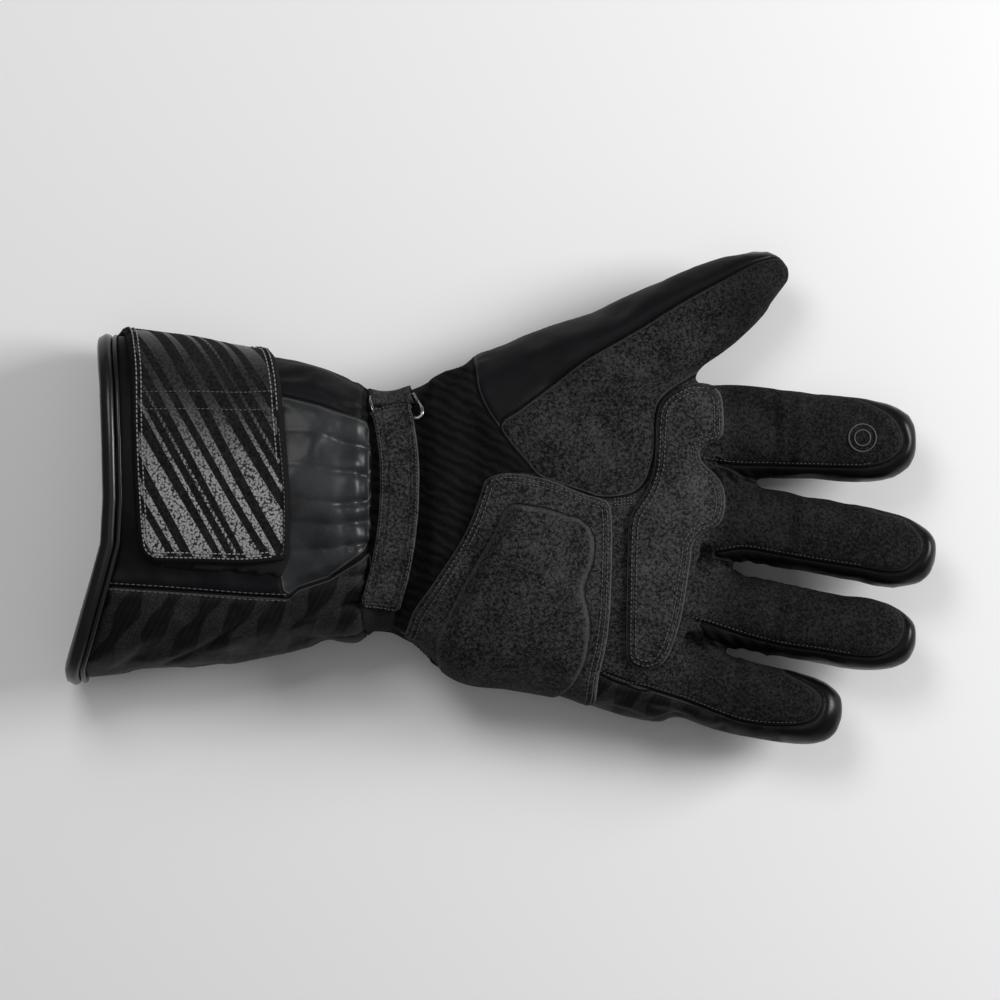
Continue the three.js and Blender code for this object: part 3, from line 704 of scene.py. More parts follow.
rest_points = coordinates(skin.data)
beyond = rest_points[:, 0] - knuckle_x(rest_points[:, 1])
on_thumb = inside(rest_points[:, :2], plan([(500, 430), (690, 395), (800, 330), (800, 200), (470, 300)]))
calmer = np.maximum(smoothstep(-6 * MM, 6 * MM, beyond), on_thumb)
for level in (0.2, 1.0):
    chosen = np.nonzero((calmer > 0.5) == (level > 0.5))[0]
    calm.add([int(i) for i in chosen], level, "REPLACE")
relax = skin.modifiers.new("Calm", "SMOOTH")
relax.factor = 0.6
relax.iterations = 9
relax.vertex_group = "calm"
apply_modifiers(skin)
divide = skin.modifiers.new("Divide", "SUBSURF")
divide.levels = divide.render_levels = 1
apply_modifiers(skin)
sew_skin(skin)
flatten_rest(skin)
tuck_mouth(skin)
bm = bmesh.new()
bm.from_mesh(skin.data)
verts = [v for v in bm.verts if v.co.x < mouth_x(v.co.y) + 4.6 * MM]
bmesh.ops.delete(bm, geom=verts, context="VERTS")
bm.to_mesh(skin.data)
bm.free()
mark_panels(skin.data)
shade_smooth(skin)
skin_tree_bm = bmesh.new()
skin_tree_bm.from_mesh(skin.data)
SKIN_TREE = BVHTree.FromBMesh(skin_tree_bm)
skin_tree_bm.free()


# Places on the glove

ARCS = {}


def arc_table(x, grow):
    """The section at x as arc length from the middle of the palm, positive to the thumb side."""
    key = (round(x / (0.5 * MM)), round(grow / (0.1 * MM)))
    if key not in ARCS:
        angles = np.radians(np.linspace(269.5, -89.5, 720))
        ring = body_section(key[0] * 0.5 * MM, angles, grow)
        gone = lengths_along(ring)
        middle = np.interp(0, -angles + math.pi / 2, gone)
        along = np.gradient(ring[:, 1:], axis=0)
        along /= np.maximum(np.linalg.norm(along, axis=1), 1e-12)[:, None]
        ARCS[key] = (gone - middle, ring[:, 1], ring[:, 2], -along[:, 1], along[:, 0])
    return ARCS[key]


def on_body(x, arc, grow=0.0):
    """Place and outward direction on the body's smooth form."""
    gone, y, z, ny, nz = arc_table(x, grow)
    place = Vector((x, np.interp(arc, gone, y), np.interp(arc, gone, z)))
    outward = Vector((0, np.interp(arc, gone, ny), np.interp(arc, gone, nz)))
    return place, outward.normalized()


def arc_at(x, y):
    """Arc length of the palm side's point at height y of the plan."""
    gone, ys, _, _, _ = arc_table(x, 0.0)
    palm = slice(180, 541)
    return float(np.interp(y, ys[palm], gone[palm]))


def to_arcs(outline):
    return np.array([(x, arc_at(x, y)) for x, y in outline])


def arc_outline(corners):
    """A closed outline of the plan as x and arc length."""
    return smooth_line(to_arcs(plan(corners)), MM, closed=True)


def drop(x, y, lift=0.0):
    """A place above the sewn skin, straight under a point of the plan."""
    hit = SKIN_TREE.ray_cast(Vector((x, y, 0.2)), Vector((0, 0, -1)))[0]
    return (hit if hit is not None else Vector((x, y, 0.02))) + Vector((0, 0, lift))


# Flat panels laid on the glove

def trimmed_grid(outline, spacing):
    """A flat grid cut to the outline, its edge on the line. Returns the bmesh."""
    low, high = outline.min(0) - spacing, outline.max(0) + spacing
    size = high - low
    columns, rows = (np.maximum(2, np.round(size / spacing))).astype(int)
    bm = bmesh.new()
    bmesh.ops.create_grid(bm, x_segments=int(columns), y_segments=int(rows), size=0.5)
    for vert in bm.verts:
        vert.co.x = low[0] + (vert.co.x + 0.5) * size[0]
        vert.co.y = low[1] + (vert.co.y + 0.5) * size[1]
    flat = np.array([vert.co[:2] for vert in bm.verts])
    depth = depth_inside(flat, outline)
    gone = [vert for vert, d in zip(bm.verts, depth) if d < 0.35 * spacing]
    bmesh.ops.delete(bm, geom=gone, context="VERTS")
    loose = [vert for vert in bm.verts if len(vert.link_edges) < 3 and not vert.link_faces]
    bmesh.ops.delete(bm, geom=loose, context="VERTS")
    rim = [vert for vert in bm.verts if vert.is_boundary]
    _, near = outline_distance(np.array([vert.co[:2] for vert in rim]), outline)
    for vert, place in zip(rim, near):
        vert.co.x, vert.co.y = place
    inner = [vert for vert in bm.verts if not vert.is_boundary]
    for _ in range(3):
        bmesh.ops.smooth_vert(bm, verts=inner, factor=0.3, use_axis_x=True, use_axis_y=True, use_axis_z=False)
    return bm


def lay(name, outline, place, height, spacing=1.3 * MM, wall=1.0 * MM, relax=4):
    """A panel over the outline; place(u, v) gives base and outward direction, height(depth, flat) the rise."""
    bm = trimmed_grid(outline, spacing)
    flat = np.array([vert.co[:2] for vert in bm.verts])
    depth = np.maximum(0, depth_inside(flat, outline))
    for vert, (u, v) in zip(bm.verts, flat):
        vert.co = place(u, v)[0]
    inner = [vert for vert in bm.verts if not vert.is_boundary]
    for _ in range(relax):
        bmesh.ops.smooth_vert(bm, verts=inner, factor=0.5, use_axis_x=True, use_axis_y=True, use_axis_z=True)
    rises = height(depth, flat)
    for vert, (u, v), rise in zip(bm.verts, flat, rises):
        vert.co += place(u, v)[1] * float(rise)
    piece = new_object(name, bm)
    write_attribute(piece.data, "edge", depth / MM)
    write_attribute(piece.data, "along_u", flat[:, 0] / MM)
    write_attribute(piece.data, "along_v", flat[:, 1] / MM)
    return finish_panel(piece, wall)


def finish_panel(piece, wall):
    if wall:
        solid = piece.modifiers.new("Wall", "SOLIDIFY")
        solid.thickness = wall
        solid.offset = -1
        apply_modifiers(piece)
    flatten_rest(piece)
    return shade_smooth(piece)


def quarter_round(depth, width):
    """From 0 at the edge to 1 at the width inside it, as a quarter circle."""
    return np.sqrt(np.clip(1 - (1 - np.clip(depth / width, 0, 1)) ** 2, 0, 1))


def ridge(depth, at, width):
    """1 at a distance from the edge, falling off softly."""
    return np.exp(-(((depth - at) / width) ** 2))


def rolled_edge(rise, roll):
    """Height that rolls up from the skin at the edge."""
    return lambda depth, flat: rise * quarter_round(depth, roll)


def body_place(grow=0.0):
    return lambda x, arc: on_body(x, arc, grow)


def on_tree(tree, missed=None):
    """Places on a piece going round the body; missed gives them where the piece isn't."""
    missed = missed or body_place()

    def place(x, arc):
        base, outward = on_body(x, arc)
        hit = tree.ray_cast(base + outward * 25 * MM, -outward, 50 * MM)[0]
        return (hit, outward) if hit is not None else missed(x, arc)
    return place


skin_place = on_tree(SKIN_TREE)


def above(x, arc):
    """The body's form, a little raised."""
    base, outward = on_body(x, arc)
    return base + outward * 2 * MM, outward


def drop_place(x, y):
    return drop(x, y), Vector((0, 0, 1))


def drop_on(tree):
    """Places on a piece straight under the plan, or on the skin where it isn't."""
    def place(x, y):
        hit = tree.ray_cast(Vector((x, y, 0.2)), Vector((0, 0, -1)))[0]
        return (hit, Vector((0, 0, 1))) if hit is not None else drop_place(x, y)
    return place


def less_aside(place):
    """The same places, with a shorter rise where the surface faces sideways."""
    def shortened(x, arc):
        base, outward = place(x, arc)
        return base, outward * (0.25 + 0.75 * max(0.0, outward.z))
    return shortened


def tree_of(*objects):
    bm = bmesh.new()
    for piece in objects:
        bm.from_mesh(piece.data)
    tree = BVHTree.FromBMesh(bm)
    bm.free()
    return tree


def bridge_round(bm, loops):
    """Bridges neighbouring loops, and the last with the first."""
    for first, second in zip(loops, loops[1:] + loops[:1]):
        bmesh.ops.bridge_loops(bm, edges=first + second)


def closed_tube(bm, line, radius, sides):
    """A tube along a closed line of 3D points."""
    line = [Vector(p) for p in line]
    count = len(line)
    loops = []
    for i, place in enumerate(line):
        along = (line[(i + 1) % count] - line[i - 1]).normalized()
        across = along.cross(Vector((0, 0, 1))).normalized()
        up = across.cross(along)
        ring = [
            place + across * (math.cos(a) * radius) + up * (math.sin(a) * radius)
            for a in (2 * math.pi * k / sides for k in range(sides))
        ]
        loops.append(add_ring(bm, ring))
    bridge_round(bm, loops)


def finish_tube(name, bm):
    bmesh.ops.recalc_face_normals(bm, faces=bm.faces)
    for vert in bm.verts:
        vert.co.z = max(vert.co.z, 0)
    return shade_smooth(new_object(name, bm))


# Stitches

def stitch_row(bm, line, place, length=1.25 * MM, gap=0.5 * MM, radius=0.27 * MM, sink=0.1 * MM):
    """Thread stitches along a flat line; place(u, v) gives the surface and its outward direction."""
    line = smooth_line(line, 0.5 * MM)
    gone = lengths_along(line)
    start = gap
    while start + length < gone[-1]:
        ends = []
        for where in (start, start + length):
            u = float(np.interp(where, gone, line[:, 0]))
            v = float(np.interp(where, gone, line[:, 1]))
            base, outward = place(u, v)
            ends.append((base, outward))
        a, b = ends[0][0], ends[1][0]
        outward = (ends[0][1] + ends[1][1]).normalized()
        along = b - a
        if 0.4 * length < along.length < 2.2 * length:
            middle = (a + b) / 2 + outward * (radius - sink)
            side = along.normalized().cross(outward).normalized()
            up = side.cross(along.normalized())
            half = along.length / 2 + 0.1 * MM
            verts = bmesh.ops.create_uvsphere(bm, u_segments=6, v_segments=4, radius=1)["verts"]
            for vert in verts:
                p = vert.co.copy()
                vert.co = middle + along.normalized() * (p.z * half) + side * (p.x * radius) + up * (p.y * radius)
        start += length + gap


def inset_line(outline, distance):
    """A closed outline moved inwards."""
    line = smooth_line(outline, 1.0 * MM, closed=True)
    before, after = np.roll(line, 1, 0), np.roll(line, -1, 0)
    along = after - before
    along /= np.maximum(np.linalg.norm(along, axis=1), 1e-12)[:, None]
    inward = np.stack([-along[:, 1], along[:, 0]], 1)
    area = 0.5 * np.sum(line[:, 0] * np.roll(line[:, 1], -1) - np.roll(line[:, 0], -1) * line[:, 1])
    moved = line + inward * (distance if area > 0 else -distance)
    keep = depth_inside(moved, line) > 0.9 * abs(distance)
    return moved[keep] if distance > 0 else moved


def part_of(line, keep):
    """The longest run of a closed line's points that pass the test."""
    flags = np.array([bool(keep(x, y)) for x, y in line])
    if flags.all():
        return np.vstack([line, line[:1]])
    start = int(np.nonzero(~flags)[0][0])
    flags, line = np.roll(flags, -start), np.roll(line, -start, axis=0)
    runs, begin = [], None
    for i, flag in enumerate(np.r_[flags, False]):
        if flag and begin is None:
            begin = i
        if not flag and begin is not None:
            runs.append((begin, i))
            begin = None
    first, last = max(runs, key=lambda run: run[1] - run[0])
    return line[first:last]


# Materials: Python expressions on sockets

class Value:
    """A socket of a material; arithmetic adds Math nodes."""

    def __init__(self, paint, link):
        self.paint, self.link = paint, link

    def math(self, operation, *others):
        node = self.paint.tree.nodes.new("ShaderNodeMath")
        node.operation = operation
        for socket, value in zip(node.inputs, (self, *others)):
            self.paint.feed(socket, value)
        return Value(self.paint, node.outputs[0])

    def __add__(self, other):
        return self.math("ADD", other)

    def __sub__(self, other):
        return self.math("SUBTRACT", other)

    def __mul__(self, other):
        return self.math("MULTIPLY", other)

    def __truediv__(self, other):
        return self.math("DIVIDE", other)

    def __rsub__(self, other):
        return (self * -1.0) + other

    __radd__ = __add__
    __rmul__ = __mul__

    def step(self, low, high):
        """0 below low, 1 above high, smooth between."""
        node = self.paint.tree.nodes.new("ShaderNodeMapRange")
        node.interpolation_type = "SMOOTHSTEP"
        self.paint.feed(node.inputs["Value"], self)
        node.inputs["From Min"].default_value = low
        node.inputs["From Max"].default_value = high
        return Value(self.paint, node.outputs["Result"])

    def sine(self):
        return self.math("SINE")

    def size(self):
        return self.math("ABSOLUTE")


class Paint:
    """One material and its nodes."""

    def __init__(self, name):
        self.material = bpy.data.materials.new(name)
        self.material.use_nodes = True
        self.tree = self.material.node_tree
        self.shader = self.tree.nodes["Principled BSDF"]
        self.place = self.node("ShaderNodeTexCoord").outputs["Object"]

    def feed(self, socket, value):
        if isinstance(value, Value):
            self.tree.links.new(value.link, socket)
        elif isinstance(value, bpy.types.NodeSocket):
            self.tree.links.new(value, socket)
        else:
            socket.default_value = value

    def node(self, kind, settings=None, **inputs):
        node = self.tree.nodes.new(kind)
        for key, value in (settings or {}).items():
            setattr(node, key, value)
        for key, value in inputs.items():
            self.feed(node.inputs[key.replace("_", " ")], value)
        return node

    def stretched(self, scale, turn=0.0):
        return self.node(
            "ShaderNodeMapping", Vector=self.place, Scale=scale, Rotation=(0, 0, turn)
        ).outputs["Vector"]

    def noise(self, grain, detail=2.0, roughness=0.5):
        """Noise from 0 to 1 with features of about grain metres."""
        node = self.node(
            "ShaderNodeTexNoise", Vector=self.place, Scale=1 / grain, Detail=detail, Roughness=roughness
        )
        return Value(self, node.outputs[0])

    def cells(self, grain):
        """Distance from the middles of scattered cells."""
        node = self.node("ShaderNodeTexVoronoi", Vector=self.place, Scale=1 / grain)
        return Value(self, node.outputs["Distance"])

    def axis(self, turn=0.0):
        """Coordinates along X and Y after a turn, in metres."""
        split = self.node("ShaderNodeSeparateXYZ", Vector=self.stretched((1, 1, 1), turn))
        return Value(self, split.outputs["X"]), Value(self, split.outputs["Y"])

    def attribute(self, name):
        return Value(self, self.node("ShaderNodeAttribute", {"attribute_name": name}).outputs["Fac"])

    def mix(self, factor, first, second):
        node = self.node("ShaderNodeMix", {"data_type": "RGBA"})
        self.feed(node.inputs[0], factor)
        for socket, colour in ((node.inputs[6], first), (node.inputs[7], second)):
            self.feed(socket, (*colour, 1) if isinstance(colour, tuple) and len(colour) == 3 else colour)
        return node.outputs[2]

    def finish(self, cloth, **constants):
        colour, roughness, height = cloth
        self.feed(self.shader.inputs["Base Color"], (*colour, 1) if isinstance(colour, tuple) else colour)
        self.feed(self.shader.inputs["Roughness"], roughness)
        if height is not None:
            bump = self.node("ShaderNodeBump", Strength=1.0, Distance=1.0, Height=height)
            self.tree.links.new(bump.outputs["Normal"], self.shader.inputs["Normal"])
        for key, value in constants.items():
            self.shader.inputs[key.replace("_", " ")].default_value = value
        return self.material


def layered(paint, under, over, mask):
    """One cloth where the mask is 0, the other where it is 1."""
    return (
        paint.mix(mask, under[0], over[0]),
        mask * (over[1] - under[1]) + under[1],
        mask * (over[2] - under[2]) + under[2],
    )


def suede(paint, dark=(0.0012, 0.0012, 0.0013), light=(0.042, 0.042, 0.0425)):
    """Synthetic suede: black with a fine, strongly speckled nap."""
    nap = paint.noise(1.25 * MM, 3, 0.75)
    fine = paint.noise(0.6 * MM, 2)
    patches = paint.noise(11 * MM, 3)
    tone = (nap * 0.75 + fine * 0.3 + patches * 0.2 - 0.12).step(0.38, 0.66)
    height = nap * (0.42 * MM) + fine * (0.14 * MM)
    return paint.mix(tone, dark, light), nap * 0.1 + 0.82, height


def softshell(paint):
    """Smooth, tightly woven shell cloth."""
    across, _ = paint.axis(0.7)
    rib = (across * (2 * math.pi / (0.85 * MM))).sine() * 0.5 + 0.5
    grain = paint.noise(0.5 * MM, 2)
    patches = paint.noise(14 * MM, 3)
    tone = grain * 0.4 + patches * 0.6 + rib * 0.1 - 0.05
    colour = paint.mix(tone.step(0.15, 0.85), (0.001, 0.001, 0.0014), (0.0055, 0.0055, 0.0075))
    return colour, grain * 0.12 + 0.5, rib * (0.02 * MM) + grain * (0.05 * MM)


def elastic(paint):
    """Matt stretch cloth of the gathered wrist, with shirring across it."""
    across, along = paint.axis(0.0)
    drift = paint.noise(7 * MM, 2) * (5 * MM)
    rib = ((along + across * 0.5 + drift) * (2 * math.pi / (4.2 * MM))).sine() * 0.5 + 0.5
    grain = paint.noise(0.9 * MM, 3, 0.7)
    tone = (grain * 0.7 + rib * 0.3).step(0.25, 0.8)
    return paint.mix(tone, (0.0006, 0.0006, 0.0006), (0.0065, 0.0065, 0.0068)), grain * 0.1 + 0.85, (
        rib * (0.24 * MM) + grain * (0.14 * MM)
    )


def satin(paint):
    """Softly shining shell cloth, slate grey."""
    across, _ = paint.axis(-0.5)
    rib = (across * (2 * math.pi / (0.7 * MM))).sine() * 0.5 + 0.5
    grain = paint.noise(0.45 * MM, 2)
    patches = paint.noise(18 * MM, 2)
    tone = (patches * 0.7 + grain * 0.3).step(0.3, 0.75)
    colour = paint.mix(tone, (0.008, 0.0084, 0.0092), (0.034, 0.0355, 0.038))
    return colour, grain * 0.1 + 0.34, rib * (0.02 * MM) + grain * (0.03 * MM)


def printed(paint):
    """Shell cloth with a faint print of leaning dark bars."""
    across, along = paint.axis(0.5)
    drift = paint.noise(16 * MM, 1) * (5 * MM)
    bars = ((across + drift) * (2 * math.pi / (12 * MM))).sine()
    rows = ((along + drift * 1.6) * (2 * math.pi / (21 * MM))).sine()
    band = (bars * 0.9 - rows * 0.5).step(-0.1, 0.25)
    fine = (across * (2 * math.pi / (2.1 * MM))).sine().step(-0.2, 0.5)
    thread_x, thread_y = paint.axis(0.0)
    weave = (thread_x * (2 * math.pi / (0.8 * MM))).sine() * (thread_y * (2 * math.pi / (0.8 * MM))).sine()
    grain = paint.noise(0.6 * MM, 3, 0.7)
    ground = paint.mix(grain.step(0.35, 0.7), (0.004, 0.004, 0.0042), (0.026, 0.026, 0.027))
    dark = paint.mix(fine * 0.5, (0.0014, 0.0014, 0.0015), (0.006, 0.006, 0.0063))
    return paint.mix(band, dark, ground), grain * 0.1 + 0.5, weave * (0.04 * MM) + grain * (0.05 * MM)


def gloss(paint):
    """Smooth coated cloth of the binding and the fingertip rims."""
    fine = paint.noise(0.9 * MM, 2)
    colour = paint.mix(paint.noise(6 * MM), (0.0025, 0.0025, 0.0028), (0.007, 0.007, 0.0074))
    return colour, fine * 0.12 + 0.28, fine * (0.02 * MM)


def make_skin_material():
    paint = Paint("glove_cloth")
    edges = {name: paint.attribute(name) for name in ("elastic", "printed", "satin", "rim", "suede", "thumb")}
    cloth = softshell(paint)
    for name, recipe, soft in (
        ("elastic", elastic, 0.2), ("printed", printed, 0.15), ("satin", satin, 0.15), ("rim", gloss, 2.5),
        ("suede", suede, 0.12),
    ):
        cloth = layered(paint, cloth, recipe(paint), edges[name].step(-soft, soft))
    colour, roughness, height = cloth
    crease_shade = 1.0 - edges["suede"].size().step(0.1, 0.75)
    lip_highlight = 1.0 - (edges["suede"] - 0.85).size().step(0.1, 0.5)
    short = 1.0 - edges["rim"].step(-2.0, 1.0)
    for name in ("thumb", "satin", "printed"):
        crease_shade = crease_shade.math("MAXIMUM", (1.0 - edges[name].size().step(0.1, 0.7)) * short)
        lip_highlight = lip_highlight.math("MAXIMUM", (1.0 - (edges[name] - 0.8).size().step(0.1, 0.5)) * short)
    # Painted highlight: the lit lip beside each seam is painted pale; the bump also raises it.
    colour = paint.mix(lip_highlight * 0.7, colour, (0.05, 0.05, 0.051))
    # Painted shade: the groove along each seam is painted dark; the bump also dents it.
    colour = paint.mix(crease_shade * 0.9, colour, (0.0015, 0.0015, 0.0015))
    height = height - crease_shade * (0.35 * MM) + lip_highlight * (0.25 * MM)
    beyond = paint.attribute("finger")
    colour = paint.mix(beyond * 0.55, colour, (0.001, 0.001, 0.001))
    shine = edges["satin"].step(-0.15, 0.15) * 0.18 + edges["rim"].step(-2.5, 2.5) * 0.14
    paint.feed(paint.shader.inputs["Coat Weight"], shine * (1.0 - edges["suede"].step(-0.12, 0.12)))
    return paint.finish((colour, roughness, height), Specular_IOR_Level=0.12, Coat_Roughness=0.28)


def make_patch_material():
    """Suede panel whose edge is pressed down, painted a little paler as a highlight just inside it, with painted shade
    on the edge itself and in its two stitched grooves.
    """
    paint = Paint("patch_suede")
    colour, roughness, height = suede(paint, (0.0025, 0.0025, 0.0027), (0.056, 0.056, 0.057))
    edge = paint.attribute("edge")
    # Painted highlight along the rolled edge, where it catches the light.
    edge_highlight = 1.0 - (edge - 0.55).size().step(0.0, 0.5)
    colour = paint.mix(edge_highlight * 0.75, colour, (0.1, 0.1, 0.101))
    # Painted shade on the edge wall itself.
    colour = paint.mix(1.0 - edge.step(0.02, 0.25), colour, (0.001, 0.001, 0.001))
    # Painted shade in the two stitched grooves, which the bump also presses in.
    rows = 1.0 - (edge - 1.9).size().step(0.0, 0.6)
    rows = rows + (1.0 - (edge - 3.7).size().step(0.0, 0.6))
    colour = paint.mix(rows * 0.5, colour, (0.004, 0.004, 0.004))
    return paint.finish((colour, roughness, height - rows * (0.15 * MM)), Specular_IOR_Level=0.15)


def make_pad_material():
    """Suede of the heel pad with painted shade in the groove at its foot and a painted highlight on the ridge above it.
    """
    paint = Paint("pad_suede")
    colour, roughness, height = suede(paint, (0.0016, 0.0016, 0.0018), (0.05, 0.05, 0.051))
    edge = paint.attribute("edge")
    # Painted highlight on the ridge above the pad's foot.
    edge_highlight = 1.0 - (edge - 2.0).size().step(0.0, 1.4)
    colour = paint.mix(edge_highlight * 0.4, colour, (0.075, 0.075, 0.076))
    # Painted shade in the groove at the pad's foot.
    colour = paint.mix(1.0 - edge.step(0.5, 1.1), colour, (0.0015, 0.0015, 0.0015))
    return paint.finish((colour, roughness, height), Specular_IOR_Level=0.15)


def make_simple(name, recipe, **constants):
    paint = Paint(name)
    return paint.finish(recipe(paint), **constants)


def fuzz(paint):
    hairs = paint.noise(0.5 * MM, 5, 0.8)
    loops = paint.cells(0.9 * MM)
    colour = paint.mix(hairs, (0.002, 0.002, 0.002), (0.016, 0.016, 0.0165))
    return colour, hairs * 0.1 + 0.85, hairs * (0.6 * MM) + loops * (0.3 * MM)


def fleece(paint):
    pile = paint.noise(1.6 * MM, 5, 0.7)
    colour = paint.mix(pile, (0.006, 0.006, 0.0065), (0.03, 0.03, 0.032))
    return colour, pile * 0.05 + 0.92, pile * (0.8 * MM)


def thread(dark, light, rough):
    """Recipe of a twisted thread."""
    def recipe(paint):
        twist = paint.noise(0.3 * MM, 1)
        return paint.mix(twist, dark, light), twist * 0.2 + rough, twist * (0.05 * MM)
    return recipe


def wire(paint):
    scratches = paint.noise(0.5 * MM, 2)
    return paint.mix(scratches, (0.14, 0.14, 0.145), (0.3, 0.3, 0.305)), scratches * 0.15 + 0.2, scratches * (0.01 * MM)


def make_flap_material():
    """Black cloth with raised, grained, slanting stripes, silver-grey partly of their own and partly as a painted
    highlight that fades to dark towards the top.
    """
    paint = Paint("flap_stripes")
    black = suede(paint, (0.001, 0.001, 0.0011), (0.014, 0.014, 0.0145))
    blisters = paint.cells(0.85 * MM)
    grain = paint.noise(0.6 * MM, 3, 0.65)
    pits = blisters * 0.9 + grain * 0.5
    # Stripe colour: their own grey plus painted glints; the pits stay dark.
    stripe_grey_and_glint = paint.mix(pits.step(0.6, 0.95), (0.27, 0.27, 0.275), (0.008, 0.008, 0.0085))
    # Painted highlight sweep: the stripes' silver fades to near black as along_v grows, towards the top of the flap.
    highlight_sweep = paint.attribute("along_v").step(4.0, 42.0)
    stripe_grey_and_glint = paint.mix(highlight_sweep * 0.94, stripe_grey_and_glint, (0.007, 0.007, 0.0075))
    rubber = (stripe_grey_and_glint, grain * 0.2 + 0.26, pits * (-0.1 * MM) + 0.18 * MM)
    mask = paint.attribute("stripe").step(-0.08, 0.08)
    colour, roughness, height = layered(paint, black, rubber, mask)
    edge = paint.attribute("edge")
    band = 1.0 - edge.step(2.2, 2.6)
    colour = paint.mix(band, colour, (0.006, 0.006, 0.0063))
    paint.feed(paint.shader.inputs["Coat Weight"], mask * 0.2)
    return paint.finish((colour, roughness, height), Specular_IOR_Level=0.14, Coat_Roughness=0.25)


SKIN_CLOTH = make_skin_material()
PATCH_SUEDE = make_patch_material()
PAD_SUEDE = make_pad_material()
PLAIN_SUEDE = make_simple("plain_suede", suede, Specular_IOR_Level=0.15)
BINDING_GLOSS = make_simple("binding_gloss", gloss, Coat_Weight=0.25, Coat_Roughness=0.18, Specular_IOR_Level=0.3)
FUZZ = make_simple("fastener_fuzz", fuzz, Specular_IOR_Level=0.2)
FLEECE = make_simple("lining_fleece", fleece, Specular_IOR_Level=0.2, Sheen_Weight=0.05)
THREAD = make_simple("thread_grey", thread((0.02, 0.02, 0.0205), (0.09, 0.09, 0.092), 0.5))
PALE_THREAD = make_simple("thread_pale", thread((0.09, 0.09, 0.092), (0.34, 0.34, 0.345), 0.45))
WIRE = make_simple("loop_wire", wire, Metallic=1.0)
FLAP_STRIPES = make_flap_material()


def settle(piece, material, slot, *nodes):
    """Gives a piece its material and body, and hides the nodes that it stands for; slot is not used."""
    piece.data.materials.clear()
    piece.data.materials.append(material)
    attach(piece, "root")
    if nodes:
        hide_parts(*nodes)
    return piece


# The skin in pieces: cuff, hand, thumb and fingers

def split_skin():
    centres = np.array([polygon.center for polygon in skin.data.polygons])
    wrist_x = plan_x(STRAP_X)
    group = np.zeros(len(centres), int)
    group[centres[:, 0] > wrist_x] = 1
    thumb_area = plan([
        (706, 372), (690, 386), (662, 402), (560, 330), (560, 150), (900, 150), (900, 372),
    ])
    group[inside(centres[:, :2], thumb_area)] = 2
    beyond = centres[:, 0] > knuckle_x(centres[:, 1]) + 2 * MM
    group[beyond & (group != 2)] = 3
    names = ["cuff_cloth", "hand_cloth", "thumb_cloth", "finger_cloth"]
    pieces = []
    for number, name in enumerate(names):
        bm = bmesh.new()
        bm.from_mesh(skin.data)
        bm.faces.ensure_lookup_table()
        gone = [bm.faces[int(i)] for i in np.nonzero(group != number)[0]]
        bmesh.ops.delete(bm, geom=gone, context="FACES")
        pieces.append(new_object(name, bm))
    return pieces


CUFF, HAND, THUMB, FINGERS = split_skin()
bpy.data.objects.remove(skin)
settle(CUFF, SKIN_CLOTH, "softshell", "cuff_panel", "cuff_gusset")
settle(HAND, SKIN_CLOTH, "softshell", "wrist_section", "hand_palm", "hand_back")
settle(THUMB, SKIN_CLOTH, "softshell", "thumb_palm", "thumb_back")
settle(
    FINGERS, SKIN_CLOTH, "suede", "index_palm", "index_back", "middle_palm", "middle_back", "ring_palm",
    "ring_back", "little_palm", "little_back",
)

# Lining seen in the mouth

bm = bmesh.new()
loft(bm, body_rings(-4.6 * MM, stop=HAND_END - 12 * MM), capped=False)
gone = [v for v in bm.verts if v.co.x < mouth_x(v.co.y) + 2.6 * MM]
bmesh.ops.delete(bm, geom=gone, context="VERTS")
far = max(v.co.x for v in bm.verts)
end_edges = [e for e in bm.edges if e.is_boundary and all(v.co.x > far - 30 * MM for v in e.verts)]
bmesh.ops.holes_fill(bm, edges=end_edges)
bmesh.ops.recalc_face_normals(bm, faces=bm.faces)
bmesh.ops.reverse_faces(bm, faces=bm.faces)
for vert in bm.verts:
    vert.co.z = max(vert.co.z, 3.0 * MM)
settle(shade_smooth(new_object("cuff_lining", bm)), FLEECE, "softshell")

# Rolled binding round the mouth

def mouth_path(grow, shift, count=150):
    angles = np.linspace(0, 2 * math.pi, count, endpoint=False)
    path = []
    for angle in angles:
        x = float(BODY[0, 0])
        for _ in range(3):
            point = body_section(x, np.array([angle]), grow)[0]
            x = float(mouth_x(point[1])) + shift
        point = body_section(x, np.array([angle]), grow)[0]
        path.append(Vector((x, point[1], max(point[2], 3.4 * MM))))
    return path


def rolled_band(name, grow, shift, width, height, groove):
    """A rounded band round the mouth; groove is the depth of the line pressed along it."""
    bm = bmesh.new()
    path = mouth_path(grow, shift)
    path = [Vector(p) for p in smooth_line(np.array(path), 2.0 * MM, closed=True)]
    count = len(path)
    centre = sum(path, Vector()) / count
    loops = []
    sides = 20
    for i, place in enumerate(path):
        along = (path[(i + 1) % count] - path[i - 1]).normalized()
        outward = place - centre
        outward.x = 0
        outward = (outward - along * outward.dot(along)).normalized()
        across = along.cross(outward)
        ring = []
        for k in range(sides):
            angle = 2 * math.pi * k / sides
            wide, tall = math.cos(angle), math.sin(angle)
            pressed = groove * math.exp(-(((wide - 0.45) / 0.18) ** 2)) * (tall > 0)
            ring.append(
                place
                + across * (signed_power(wide, 2.3) * width / 2)
                + outward * (signed_power(tall, 2.3) * height / 2 - pressed)
            )
        loops.append(add_ring(bm, ring))
    bridge_round(bm, loops)
    return finish_tube(name, bm)


settle(
    rolled_band("mouth_binding", -1.2 * MM, 3.0 * MM, 6.0 * MM, 7.4 * MM, 0.8 * MM), BINDING_GLOSS, "binding",
    "cuff_binding",
)
settle(rolled_band("mouth_binding_edge", 1.0 * MM, 6.8 * MM, 2.0 * MM, 2.6 * MM, 0.0), BINDING_GLOSS, "binding")


# Closure flap and the fastener below it

FLAP_LIFT = 2.0 * MM
FLAP_THICKNESS = 3.0 * MM


